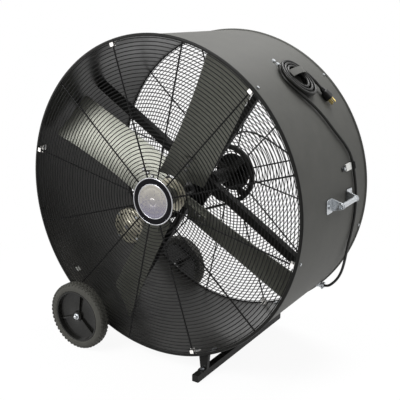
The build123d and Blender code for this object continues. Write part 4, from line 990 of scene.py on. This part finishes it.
    def make_plug(self) -> bpy.types.Object:
        """Moulded plug: a body that tapers to the cord, and a ribbed neck."""
        section = turned(self.plug_frame(), 1, 0)
        half = self.plug_length / 2
        stations = [
            (-half, 0.62), (-half + 3, 0.82), (-half + 8, 0.86), (-half + 12, 0.9), (-half + 18, 0.94),
            (half - 9, 1.0), (half - 2, 1.0), (half, 0.93),
        ]
        draft = Draft()
        rows = []
        for along, scale in stations:
            outline = rounded(rectangle(self.plug_width * scale, self.plug_height * scale), 8 * scale, 5)
            rows.append(draft.row([section @ Vector((x, y, along)) for x, y in outline]))
        draft.loft(rows)
        start, reach, steps = -half - self.neck_length, self.neck_length + 2, 14
        neck = [section @ Vector((0, 0, start + i * reach / steps)) for i in range(steps + 1)]
        sizes = [6.2 + 3.6 * i / steps + (0.9 if i % 4 < 2 else 0.0) for i in range(steps + 1)]
        draft.tube(neck, sizes, 20)
        return draft.build("plug_moulding", [BLACK_PLASTIC], replaces=("plug_body",), crease=40)

    def make_plug_blades(self) -> bpy.types.Object:
        """Two flat blades and the round earth pin."""
        section = turned(self.plug_frame(), 1, 0)
        start, end = self.plug_length / 2 - 0.4, self.plug_length / 2 + self.pin_length
        draft = Draft()
        for side in (-6.5, 6.5):
            draft.prism(section, rectangle(1.6, 7, side, -4), start, end, 0.5)
        draft.prism(section, [(x, y + 8) for x, y in polygon(2.4, 16)], start, end, 0.8)
        return draft.build("plug_pins", [BRASS], replaces=("plug_blades",))

    def make_relief(self) -> None:
        """Two-screw clamp connector: locknut collar, body, clamp bars and screws."""
        seat = wall_frame(self.relief_angle, self.relief_depth, SHELL_RADIUS + SEAT)
        start, way = self.relief_line()
        clamp = basis(start - way * self.relief_length, Vector((0, 1, 0)), way)
        draft = Draft()
        draft.prism(seat, polygon(13, 24), 0, 3.2, 0.5)
        draft.prism(seat, polygon(10.5, 24), 3.2, self.collar_height, 0.4)
        draft.prism(clamp, rounded(rectangle(17, 17), 5, 4), 1.5, self.relief_length - 8, 0.8)
        for side in (-1, 1):
            bar = rounded(rectangle(24, 5.4, 0, side * 6.2), 2, 3)
            draft.prism(clamp, bar, self.relief_length - 10, self.relief_length, 0.7)
        for side in (-1, 1):
            place = clamp @ Matrix.Translation((side * 9.3, 0, self.relief_length - 5))
            screw = place @ Matrix.Rotation(math.pi / 2, 4, "X")
            draft.prism(screw, polygon(1.8, 12), -10.5, 10.5)
            draft.prism(screw, polygon(3.4, 16), 8.6, 11.2, 0.7)
        draft.build("cord_connector", [ZINC], replaces=("strain_relief",))

    def make_clip(self) -> None:
        """P-clip: a black strap that wraps the cord, a white nylon foot, and a black tab that ends under its
        screw, which is painted shadow cast by the raised clip.
        """
        plane = turned(wall_frame(self.clip_angle, 0, 0), 1, 0)
        draft = Draft()
        rows = []
        for height in (-self.clip_width / 2, self.clip_width / 2):
            for radius in (self.clip_bore + self.clip_sheet, self.clip_bore):
                edge = arc(self.clip_depth, self.clip_radius, radius, -90, 330, 24)
                rows.append(draft.row([plane @ Vector((x, y, height)) for x, y in edge]))
        for first, second in ((0, 2), (1, 3), (0, 1), (2, 3)):
            draft.strip(rows[first], rows[second], 1, closed=False)
        for end in (0, -1):
            draft.cap([rows[i][end] for i in (0, 2, 3, 1)], 1)
        tab = wall_frame(self.clip_angle, 0, SHELL_RADIUS + SEAT)
        length = self.clip_depth - 7 - self.clip_foot
        foot = rectangle(self.clip_width, length, 0, self.clip_foot + length / 2)
        draft.prism(tab, rounded(foot, 3, 3), 0, 5.0, 0.7)
        # Painted shadow: this black tab is a dark sheet laid where the raised white clip casts its shade
        # towards the screw.
        draft.prism(tab, rounded(rectangle(15, 36, 0, self.clip_foot - 14), 5, 4), 0, 2.6, 0.5, mark=1)
        draft.build("cord_p_clip", [WHITE_NYLON, BLACK_PLASTIC], replaces=("cord_clip",))

    def make_lead(self) -> None:
        """The lead inside the drum, from the motor's terminal box to the strain relief."""
        ends = [on_drum(self.relief_angle, self.relief_depth, self.lead_end - back) for back in (26, 0)]
        route = [*self.lead_start(), *(inside(*p) for p in LEAD_POINTS), *ends]
        lead = nurbs_tube("motor_lead", route, self.lead_diameter, CORD_JACKET)
        settle(lead, "root", ("motor_cable",))

    def lead_start(self) -> tuple[Vector, Vector]:
        """The first two points of the lead, out of the side of the terminal box."""
        place = basis(inside(MOTOR_X, MOTOR_Z, 292.5), heading(110.0), heading(20.0))
        first = place @ Vector((32.1, 23, 91))
        return first, first + place.col[0].to_3d() * 24


LEAD_POINTS = [
    (-150, -120, 320), (-104, -84, 322), (-64, -40, 322), (-46, 6, 320), (-24, 48, 318), (18, 78, 317),
    (60, 114, 316), (104, 160, 316), (150, 208, 314), (208, 218, 304), (276, 202, 292), (330, 177, 286),
    (382, 149, 288), (440, 116, 302), (490, 74, 322), (524, 22, 346), (536, -38, 372), (530, -104, 402),
    (506, -172, 432), (472, -236, 460), (424, -296, 486), (388, -334, 505),
]


# ------------------------------------------------------------------ drum and guards


@dataclass
class Drum:
    """Rolled drum with a bead and lip at each end, grey outside and black at the rims and inside."""

    bead: float = 5.0
    bead_steps: int = 8
    lip: float = 5.5
    lip_thickness: float = 3.0
    segments: int = 240

    def build(self) -> None:
        """Revolve the drum's wall and dress its clips, screws and bolts."""
        outside, rim, inner = range(3)
        half = arc(self.bead, SHELL_RADIUS, self.bead, 0, 180, self.bead_steps) + [
            (0.0, SHELL_RADIUS - self.lip),
            (self.lip_thickness, SHELL_RADIUS - self.lip),
            (self.lip_thickness, INNER_RADIUS),
        ]
        profile = half + [(DRUM_DEPTH - depth, radius) for depth, radius in half[::-1]]
        grey = self.bead_steps // 2 - 1
        marks = [outside] * grey + [rim] * (len(profile) - 1 - 2 * grey) + [outside] * (grey + 1)
        marks[len(half) - 1] = inner
        draft = Draft().lathe(profile, self.segments, marks=marks)
        draft.build("drum_wall", [DRUM_PAINT, BLACK_PAINT, INNER_PAINT], replaces=("drum_shell",), crease=40)
        dress(ZINC_PAINTED_LIGHT, "guard_clips")
        dress(ZINC, "guard_screws", "cross_strut_bolts", "leg_bolts", "axle_bolts", "handle_bolts")


@dataclass
class WireGuard:
    """Concentric wires welded to the front of straight spokes."""

    name: str
    from_rear: bool
    hub_radius: float
    wire: float = 3.2
    wire_depth: float = 3.0
    spoke_wire: float = 5.6
    spoke_depth: float = 7.0
    pitch: float = 12.5
    outer: float = 545.5
    spokes: int = 12
    spoke_start: float = 13.0
    hooks: int = 6
    hook_start: float = 43.0
    hook_depth: float = 1.3
    hook_radius: float = 542.5
    hook_sheet: float = 1.2

    def depth(self, distance: float) -> float:
        """Depth behind the front rim of a place inward from this guard's face."""
        return DRUM_DEPTH - distance if self.from_rear else distance

    def build(self) -> None:
        """Make the rings, the spokes and the hooks."""
        wires, spokes = Draft(), Draft()
        for i in range(int((self.outer - self.hub_radius - 6) / self.pitch) + 1):
            radius = self.outer - i * self.pitch
            segments = 72 + int(radius / 6)
            ring = [on_drum(360 * k / segments, self.depth(self.wire_depth), radius) for k in range(segments)]
            wires.tube(ring, self.wire / 2, 8, closed=True)
        wires.build(f"{self.name}_wires", [WIRE_PAINT], replaces=(self.name,), crease=60)
        for i in range(self.spokes):
            angle = self.spoke_start + 360 / self.spokes * i
            ends = (self.hub_radius - 22, INNER_RADIUS - 0.6)
            path = [on_drum(angle, self.depth(self.spoke_depth), radius) for radius in ends]
            spokes.tube(path, self.spoke_wire / 2, 10)
        spokes.build(f"{self.name}_spokes", [WIRE_PAINT], crease=60)
        self.make_hooks()

    def make_hooks(self) -> None:
        """Bent front ends of the clips, over the two outer wires."""
        draft = Draft()
        front = Vector((0, 1 if self.from_rear else -1, 0))
        for i in range(self.hooks):
            angle = self.hook_start + 360 / self.hooks * i
            spot = on_drum(angle, self.depth(self.hook_depth), self.hook_radius)
            place = basis(spot, heading(angle + 90), front)
            draft.prism(place, rounded(rectangle(15, 12.5), 2, 2), 0, self.hook_sheet, 0.3)
        draft.build(f"{self.name}_hooks", [ZINC_PAINTED_LIGHT])


@dataclass
class Badge:
    """Round badge: bright rim, bare black ring, thin bright ring and brushed middle."""

    segments: int = 128

    def build(self) -> None:
        """Make the badge's rings and its brushed middle."""
        rim = [(1.4, 80.0), (1.0, 80.8), (1.0, 83.0), (2.2, 84.0), (4.9, 84.0), (4.9, 80.0)]
        ring = [(2.6, 61.0), (1.4, 66.0), (1.6, 76.0), (2.0, 80.3), (4.9, 80.3), (4.9, 61.0)]
        inner_rim = [(1.8, 58.5), (0.6, 59.2), (0.6, 61.4), (1.9, 62.2), (4.9, 62.2), (4.9, 58.5)]
        middle = [
            (-0.8, 0.0), (-0.6, 8.0), (0.4, 11.0), (1.6, 13.0), (1.6, 14.0), (0.2, 16.0), (0.0, 30.0),
            (0.4, 44.0), (2.0, 48.0), (2.0, 50.0), (0.6, 52.5), (0.9, 56.0), (1.8, 58.8), (4.9, 58.8),
            (4.9, 0.0),
        ]
        profiles = (rounded(rim, 0.8, 3), ring, rounded(inner_rim, 0.6, 3), middle)
        drafts = [Draft().lathe(profile, self.segments) for profile in profiles]
        drafts[0].build("badge_rim", [BADGE_BRIGHT], replaces=("guard_badge",))
        drafts[1].build("badge_ring", [BADGE_BLACK])
        drafts[2].build("badge_inner_rim", [BADGE_BRIGHT])
        drafts[3].build("badge_middle", [BadgeFinish()], crease=50)


# ------------------------------------------------------------------ fan wheel


@dataclass
class FanWheel:
    """Four cambered sheet blades on a spider, with rivets."""

    count: int = 4
    first_angle: float = 28.0
    root: float = 66.0
    tip: float = 533.0
    pitch: float = 37.0
    twist: float = 8.0
    camber: float = 420.0
    sheet: float = 2.5
    root_half: float = 84.0
    half: float = 86.0
    waist: float = 6.0
    flare: float = 12.0
    corner: float = 16.0
    hub_depth: float = 129.0
    rows: int = 24
    corner_rows: int = 8
    steps_across: int = 24
    plate_front: float = 108.0
    plate_rear: float = 111.0
    plate_bore: float = 20.0
    plate_radius: float = 61.0
    bolts: int = 8
    bolt_circle: float = 46.0
    rivet_circles: Point3 = (106.0, 128.0, 150.0)

    def build(self) -> None:
        """Make the blades, the rivets and the hub plate, and dress the hub and the shaft."""
        for i in range(self.count):
            self.make_blade(i)
        self.make_rivets()
        front, rear, bore, radius = self.plate_front, self.plate_rear, self.plate_bore, self.plate_radius
        plate = rounded([(front, bore), (front, radius), (rear, radius), (rear, bore)], 1.0, 2)
        draft = Draft().lathe(plate, 64)
        for i in range(self.bolts):
            x, z = clock(360 / self.bolts * (i + 0.5), self.bolt_circle)
            draft.prism(depth_frame(front, x, z), polygon(5.5, 6), -0.4, 4.2, 0.6)
        draft.build("hub_plate", [HUB_PLATE], "fan_rotor")
        dress(BLADE_PAINT, "fan_hub")
        dress(CAST_METAL, "fan_shaft")

    def frame(self, blade: int, radius: float = 0.0) -> Matrix:
        """Frame of a blade: x along its chord to the rear edge, y to its back, z outwards.

        Args:
            blade: the blade's place in turn.
            radius: distance from the fan axis, as the pitch eases towards the tip.

        Returns:
            The frame's matrix.
        """
        angle = self.first_angle + 360 / self.count * blade
        eased = max(radius - self.root, 0.0) / (self.tip - self.root)
        chord = heading(angle + 90, self.pitch - self.twist * eased)
        return basis(inside(0, 0, self.hub_depth), chord, heading(angle))

    def drop(self) -> float:
        """How far the corners of a tip lie below its middle, as it follows the drum."""
        side = self.half * math.cos(math.radians(self.pitch))
        return self.tip - math.sqrt(self.tip**2 - side**2)

    def front_edge(self, t: float) -> float:
        """Distance from the middle line to the front edge: waisted, then flared to the tip."""
        ends = (self.root_half, self.half + self.flare)
        middle = self.half - self.waist
        return ends[0] * (1 - t) * (1 - 2 * t) + middle * 4 * t * (1 - t) + ends[1] * t * (2 * t - 1)

    def stations(self) -> list[tuple[float, float, float, float]]:
        """Rows along a blade: radius of the row's middle, drop at its ends, front and rear width."""
        rows = []
        high = self.tip - self.corner
        for i in range(self.rows):
            t = i / (self.rows - 1)
            rear = self.root_half + (self.half - self.root_half) * t
            rows.append((self.root + (high - self.root) * t, 0.0, self.front_edge(t), rear))
        for i in range(1, self.corner_rows + 1):
            t = math.pi / 2 * i / self.corner_rows
            cut, rise = self.corner * (1 - math.cos(t)), math.sin(t)
            widths = (self.half + self.flare - cut, self.half - cut)
            rows.append((high + self.corner * rise, self.drop() * rise, *widths))
        return rows

    def make_blade(self, blade: int) -> None:
        """Sheet the blade: a cambered grid with a closed edge all round.

        Args:
            blade: the blade's place in turn.
        """
        draft = Draft()
        layers = []
        for reach in (self.camber, self.camber + self.sheet):
            layer = []
            for radius, drop, front, rear in self.stations():
                place = self.frame(blade, radius)
                points = []
                for k in range(self.steps_across + 1):
                    chord = -front + (front + rear) * k / self.steps_across
                    t = math.asin(chord / self.camber)
                    height = radius - drop * (chord / self.half) ** 2
                    across, back = reach * math.sin(t), reach * math.cos(t) - self.camber
                    points.append(place @ Vector((across, back, height)))
                layer.append(draft.row(points))
            layers.append(layer)
        for layer in layers:
            for first, second in zip(layer, layer[1:]):
                draft.strip(first, second, closed=False)
        under, over = (
            layer[0] + [row[-1] for row in layer[1:-1]] + layer[-1][::-1] + [row[0] for row in layer[-2:0:-1]]
            for layer in layers
        )
        draft.strip(under, over)
        number = blade + 1
        draft.build(f"fan_blade_{number}", [BLADE_PAINT], "fan_rotor", (f"blade_{number}",), crease=50)

    def make_rivets(self) -> None:
        """Round-headed rivets through the arms and blades."""
        draft = Draft()
        for i in range(self.count):
            back = turned(self.frame(i), 2, 1)
            for radius in self.rivet_circles:
                for height, way in ((self.sheet + 0.1, 1), (-6.8, -1)):
                    rows = []
                    for level, size in ((0.0, 7.0), (1.0, 6.8), (2.2, 5.2), (2.9, 2.6)):
                        lift = height + way * level
                        ring = [back @ Vector((radius + x, y, lift)) for x, y in polygon(size, 16)]
                        rows.append(draft.row(ring))
                    draft.loft(rows)
        draft.build("hub_rivets", [STEEL], "fan_rotor", ("blade_rivets",))


# ------------------------------------------------------------------ drive, motor and frame


@dataclass
class BeltDrive:
    """Spoked driven pulley, small drive pulley and the belt round both."""

    depth: float = 488.0
    width: float = 17.0
    driven: float = 118.0
    drive: float = 36.0
    groove: float = 7.8
    belt_line: float = 7.5

    def profile(self, radius: float, inner: float) -> list[Point2]:
        """Outline of a grooved pulley or rim of a radius, from an inner radius outwards."""
        start, end, middle = self.depth, self.depth + self.width, self.depth + self.width / 2
        floor = radius - self.groove
        return [
            (start, inner), (start, radius - 1), (start + 1, radius),
            (middle - 6.4, radius), (middle - 6.3, floor), (middle + 6.3, floor), (middle + 6.4, radius),
            (end - 1, radius), (end, radius - 1), (end, inner),
        ]

    def build(self) -> None:
        """Make the pulleys and the belt."""
        draft = Draft().lathe(self.profile(self.driven, self.driven - self.groove - 8), 128)
        start, end = self.depth, self.depth + self.width
        hub = [(start - 3, 12.6), (start - 3, 24), (start, 27), (end, 27), (end + 3, 24), (end + 3, 12.6)]
        draft.lathe(rounded(hub, 1.5, 2), 64)
        for i in range(4):
            arm = spun(depth_frame(start + self.width / 2), 45 + 90 * i)
            outline = [(24, -16), (60, -11), (103.5, -14), (103.5, 14), (60, 11), (24, 16)]
            draft.prism(arm, rounded(outline, 3, 2), -3.5, 3.5, 0.8)
            draft.prism(arm, [(24, -2.4), (103.5, -2.4), (103.5, 2.4), (24, 2.4)], -7, 7, 0.8)
        draft.build("fan_pulley", [CAST_METAL], "fan_rotor", ("driven_pulley",))
        small = Draft().lathe(self.profile(self.drive, 8.05), 96, MOTOR_X, MOTOR_Z)
        small.build("motor_pulley", [CAST_METAL], "motor_rotor", ("drive_pulley",))
        self.make_belt()

    def make_belt(self) -> None:
        """V-belt round both pulleys, with a rounded back."""
        draft = Draft()
        rows = []
        for lift, half in ((0.0, 4.2), (0.0, -4.2), (8.0, -6.0), (9.0, -5.2), (9.0, 5.2), (8.0, 6.0)):
            depth = self.depth + self.width / 2 + half
            rows.append(draft.row([inside(x, z, depth) for x, z in self.belt_path(lift)]))
        draft.loft(rows, closed=True)
        draft.build("v_belt", [BELT_RUBBER], replaces=("drive_belt",), crease=40)

    def belt_path(self, lift: float) -> list[Point2]:
        """Closed path round both pulleys, a given height above the belt's inner face."""
        big, small = self.driven - self.belt_line + lift, self.drive - self.belt_line + lift
        base = math.degrees(math.atan2(MOTOR_Z, MOTOR_X))
        lean = math.degrees(math.acos((big - small) / math.hypot(MOTOR_X, MOTOR_Z)))
        path = arc(0, 0, big, base + lean, 360 - 2 * lean, 64)
        return path + arc(MOTOR_X, MOTOR_Z, small, base - lean, 2 * lean, 32)


@dataclass
class Motor:
    """Motor can between two end bells, in a cradle on the lower cross strut; the bells' pale colour is a
    painted reflection, and black plates in their vent slots are painted shade.
    """

    front: float = 200.0
    bell: float = 30.0
    can: float = 125.0
    bore: float = 8.1
    vents: int = 16
    strut_angle: float = 213.0
    saddle: int = 12

    def build(self) -> None:
        """Make the can, the bells and the cradle, and dress the bolts, shaft and terminal box."""
        start, end = self.front + self.bell, self.front + self.bell + self.can
        can = [(start, self.bore), (start, MOTOR_RADIUS), (end, MOTOR_RADIUS), (end, self.bore)]
        draft = Draft().lathe(rounded(can, 1.2, 2), 128, MOTOR_X, MOTOR_Z)
        draft.build("motor_can", [MOTOR_PAINT], replaces=("motor_shell",))
        self.make_bell("front", self.front, 1)
        self.make_bell("rear", end + self.bell, -1)
        self.make_cradle(start)
        dress(ZINC, "motor_bolts")
        dress(STEEL, "motor_shaft")
        dress(MOTOR_PAINT, "motor_terminal_box")

    def make_cradle(self, start: float) -> None:
        """Plate on the lower cross strut, with two saddles that carry the can.

        Args:
            start: depth of the can's front end.
        """
        strut, aside = clock(self.strut_angle), clock(self.strut_angle + 90)
        middle = MOTOR_X * strut[0] + MOTOR_Z * strut[1]
        height = MOTOR_X * aside[0] + MOTOR_Z * aside[1]

        def corner(along: float, up: float) -> Point2:
            """A corner from its places along the strut and away from it."""
            reach = middle + along
            return (reach * strut[0] + up * aside[0], reach * strut[1] + up * aside[1])

        place = depth_frame(start)
        plate = [corner(-65, 11.1), corner(-65, 16.1), corner(65, 16.1), corner(65, 11.1)]
        draft = Draft().prism(place, plate, -self.can, 0, 0.6)
        round_can = MOTOR_RADIUS + SEAT
        hollow = [corner(along, height - math.sqrt(round_can**2 - along**2)) for along in range(-57, 58, 3)]
        for back in (-self.saddle, -self.can):
            draft.prism(place, [corner(-57, 16.0), *hollow, corner(57, 16.0)], back, back + self.saddle)
        draft.build("motor_cradle", [BLACK_PAINT], replaces=("motor_base",), crease=30)

    def make_bell(self, name: str, face: float, way: int) -> None:
        """Domed end bell whose vent slots are black plates, painted shade standing in for the dark inside of
        the openings.

        Args:
            name: front or rear.
            face: depth of its outer face.
            way: 1 where the motor lies behind the face, -1 where it lies in front.
        """
        corners = [
            (0, self.bore), (0, 24), (3, 28), (8.9, 52), (9, 66), (12, 69.5), (16, 70.9), (self.bell, 70.9),
            (self.bell, self.bore),
        ]
        profile = rounded([(face + way * inward, radius) for inward, radius in corners], 2.0, 2)
        draft = Draft().lathe(profile, 96, MOTOR_X, MOTOR_Z)
        # Painted shade: each vent slot is a black plate that stands in for the shade inside the opening.
        slot = rounded([(32, -2.6), (58, -4.2), (58, 4.2), (32, 2.6)], 2, 2)
        for i in range(self.vents):
            arm = spun(depth_frame(face, MOTOR_X, MOTOR_Z, way), 360 / self.vents * (i + 0.5))
            draft.prism(arm, slot, -9.6, -8.4, mark=1)
        draft.build(f"motor_bell_{name}", [MOTOR_BELL_SHEEN, BLACK_PAINT], replaces=(f"motor_{name}_bell",))


@dataclass
class InnerFrame:
    """Struts, bearing plate, housing and bearings."""

    def build(self) -> None:
        """Dress the tubes, the plate, the housing, the bearings and the rear disc."""
        dress(BLACK_PAINT, "strut_upper", "strut_lower", "cross_strut_upper", "cross_strut_lower")
        dress(BLACK_PAINT, "bearing_plate", "bearing_housing", "rear_guard_disc")
        dress(STEEL, "front_bearing", "rear_bearing")


# ------------------------------------------------------------------ feet, wheels and handle


@dataclass
class Feet:
    """Foot bar, legs and axle brackets."""

    def build(self) -> None:
        """Dress the bar, its caps, the legs, the brackets and the axle."""
        dress(BLACK_PAINT, "foot_bar", "front_leg", "rear_leg", "axle_bracket_front", "axle_bracket_rear")
        dress(BLACK_PLASTIC, "foot_end_caps")
        dress(STEEL, "wheel_axle")


@dataclass
class Wheel:
    """Moulded wheel with three ribs and a rubber tyre with four rows of lugs."""

    name: str
    from_rear: bool
    outset: float = 78.0
    width: float = 44.0
    radius: float = 128.0
    axle_reach: float = 567.0
    lugs: int = 48
    lug_rows: tuple[Point2, ...] = ((1.4, 11.5), (13.0, 21.3), (22.7, 31.0), (32.5, 42.6))
    x: float = field(init=False)
    z: float = field(init=False)

    def __post_init__(self) -> None:
        """Work out the axle's place."""
        self.z = self.radius - AXIS_Z
        self.x = -math.sqrt(self.axle_reach**2 - self.z**2)

    def depth(self, inward: float) -> float:
        """Depth behind the front rim of a place inward from the wheel's outer face."""
        depth = inward - self.outset
        return DRUM_DEPTH - depth if self.from_rear else depth

    def lathe(self, points: list[Point2], segments: int, draft: Draft) -> None:
        """Revolve (distance inward, radius) corners about the axle."""
        draft.lathe([(self.depth(inward), radius) for inward, radius in points], segments, self.x, self.z)

    def build(self) -> None:
        """Make the wheel's moulding and its tyre."""
        self.make_moulding()
        self.make_tyre()

    def make_moulding(self) -> None:
        """Hub, recessed web, ribs and rim."""
        draft = Draft()
        points = [
            (6, 6.3), (6, 12), (8, 12.6), (8, 16.5), (7, 17.2), (6.2, 18.6), (8, 19.6), (19.4, 20.6),
            (20, 22), (20, 86), (19.2, 88.4), (6, 91), (2.4, 92.2), (2, 94), (2.2, 97.4), (3, 98),
            (41, 98), (41, 94), (26.5, 91), (26, 89), (26, 21), (27, 19.4), (44, 18), (44, 6.3),
        ]
        self.lathe(points, 96, draft)
        low, high = (-9.0, 0.5) if self.from_rear else (-0.5, 9.0)
        rib = [(17, -6.5), (40, -4.0), (91, -3.0), (91, 3.0), (40, 4.0), (17, 6.5)]
        for angle in (10.0, 130.0, 250.0):
            arm = spun(depth_frame(self.depth(20), self.x, self.z), 90 - angle)
            draft.prism(arm, rib, low, high, 1.2)
        names = (f"{self.name}_wheel", (f"{self.name}_wheel_rim",))
        draft.build(f"{self.name}_wheel_moulding", [WHEEL_PLASTIC], *names)

    def make_tyre(self) -> None:
        """Tyre casing and its lugs."""
        draft = Draft()
        casing = [
            (2.4, 98.2), (0.4, 102), (0.2, 108), (1.0, 114), (4.5, 123.0), (9, 125.4),
            (35, 125.4), (39.5, 123.0), (43.0, 114), (43.8, 108), (43.6, 102), (41.6, 98.2),
        ]
        self.lathe(rounded(casing, 2.0, 2), 120, draft)
        for row, (start, end) in enumerate(self.lug_rows):
            for i in range(self.lugs):
                self.make_lug(draft, i + row % 2 / 2, start, end)
        names = (f"{self.name}_wheel", (f"{self.name}_tyre",))
        draft.build(f"{self.name}_tyre_rubber", [TYRE_RUBBER], *names, crease=28)

    def make_lug(self, draft: Draft, place: float, start: float, end: float) -> None:
        """One small slanted tread block, which wraps over the shoulder in the outer rows.

        Args:
            draft: the tyre's draft.
            place: the block's place in its row.
            start: its outer side, inward from the outer face.
            end: its inner side.
        """
        step = 360 / self.lugs
        angle, skew = place * step, step * 0.2
        rows = []
        for share, cut, lift in ((1.0, 0.0, -1.6), (0.8, 0.8, 2.0)):
            wide = step * 0.32 * share
            near, far = start + cut, end - cut
            corners = ((-wide, near), (wide, near), (wide + skew, far), (-wide + skew, far))
            spots = [self.spot(angle + turn, along, self.tread(along) + lift) for turn, along in corners]
            rows.append(draft.row(spots))
        draft.loft(rows)

    def tread(self, inward: float) -> float:
        """Radius of the casing under the tread at a place across the tyre."""
        edge = min(inward, self.width - inward)
        return 125.7 - max(0.0, 9.0 - edge) ** 2 * 0.075

    def spot(self, angle: float, inward: float, radius: float) -> Vector:
        """Point by its clock angle about the axle, distance inward and radius."""
        x, z = clock(angle, radius)
        return inside(self.x + x, self.z + z, self.depth(inward))


@dataclass
class AxleCaps:
    """Domed push nuts over both ends of the axle."""

    wheels: list[Wheel]

    def build(self) -> None:
        """Make both caps in one piece, as they share a node."""
        draft = Draft()
        dome = [
            (-7.0, 0.0), (-6.7, 3.2), (-5.6, 5.6), (-3.6, 7.0), (-1.0, 7.6), (2.6, 7.8), (3.4, 8.6),
            (3.8, 11.6), (4.6, 12.0), (5.6, 11.6), (5.6, 6.2), (-4.9, 6.2), (-4.9, 0.0),
        ]
        for wheel in self.wheels:
            wheel.lathe(dome, 40, draft)
        draft.build("axle_caps", [ZINC], replaces=("axle_push_nuts",))


@dataclass
class Handle:
    """Zinc-plated tilt handle: two bent brackets and a tube between them."""

    grip_x: float = 590.0
    grip_z: float = 22.0
    front: float = 226.0
    length: float = 123.0
    radius: float = 9.0
    wall: float = 2.0
    nose: float = 11.0
    sheet: float = 4.0
    flange_length: float = 43.0
    flange_height: float = 48.0
    tube_lead: float = 9.0

    def build(self) -> None:
        """Make the brackets and the grip."""
        draft = Draft()
        for face, way in ((self.front, 1), (self.front + self.length, -1)):
            self.make_bracket(draft, face, way)
        draft.build("handle_bent_brackets", [ZINC], replaces=("handle_brackets",), crease=40)
        start, end = self.front - self.tube_lead, self.front + self.length + 2
        tube = [
            (start, self.radius - self.wall), (start, self.radius - 0.4), (start + 0.4, self.radius),
            (end - 0.4, self.radius), (end, self.radius - 0.4), (end, self.radius - self.wall),
        ]
        grip = Draft().lathe(tube, 48, self.grip_x, self.grip_z)
        grip.build("handle_tube", [ZINC], replaces=("handle_grip",))

    def make_bracket(self, draft: Draft, face: float, way: int) -> None:
        """One bracket: a tapering web round the tube, a bend and a flange.

        Args:
            draft: the brackets' draft.
            face: depth of the web's outer face.
            way: 1 at the front and -1 at the rear.
        """
        angle = math.degrees(math.atan2(SHELL_RADIUS, self.grip_z))
        x, z = clock(angle, SHELL_RADIUS + SEAT + self.sheet / 2)
        half = self.flange_height / 2 - 3
        right, up = clock(angle + 90)
        first, last = ((x + right * side, z + up * side) for side in (half, -half))
        outline = [first, *arc(self.grip_x, self.grip_z, self.nose, -90, 180, 16), last]
        low, high = (-self.sheet, 0.0) if way > 0 else (0.0, self.sheet)
        draft.prism(depth_frame(face), outline, low, high, 0.5)
        flange = wall_frame(angle, face - way * self.flange_length / 2, SHELL_RADIUS + SEAT)
        plate = rounded(rectangle(self.flange_height, self.flange_length), 6, 4)
        draft.prism(flange, plate, 0, self.sheet, 0.6)


# ------------------------------------------------------------------ assembly


def main() -> None:
    """Build every piece in order."""
    logging.basicConfig(level=logging.INFO, format="%(name)s %(message)s")
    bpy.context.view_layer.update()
    Studio().build()
    SupplyCord().build()
    Drum().build()
    WireGuard("front_guard", from_rear=False, hub_radius=84.0).build()
    WireGuard("rear_guard", from_rear=True, hub_radius=76.0).build()
    Badge().build()
    FanWheel().build()
    BeltDrive().build()
    Motor().build()
    InnerFrame().build()
    Feet().build()
    wheels = [Wheel("front", from_rear=False), Wheel("rear", from_rear=True)]
    for wheel in wheels:
        wheel.build()
    AxleCaps(wheels).build()
    Handle().build()


if __name__ == "__main__":
    main()
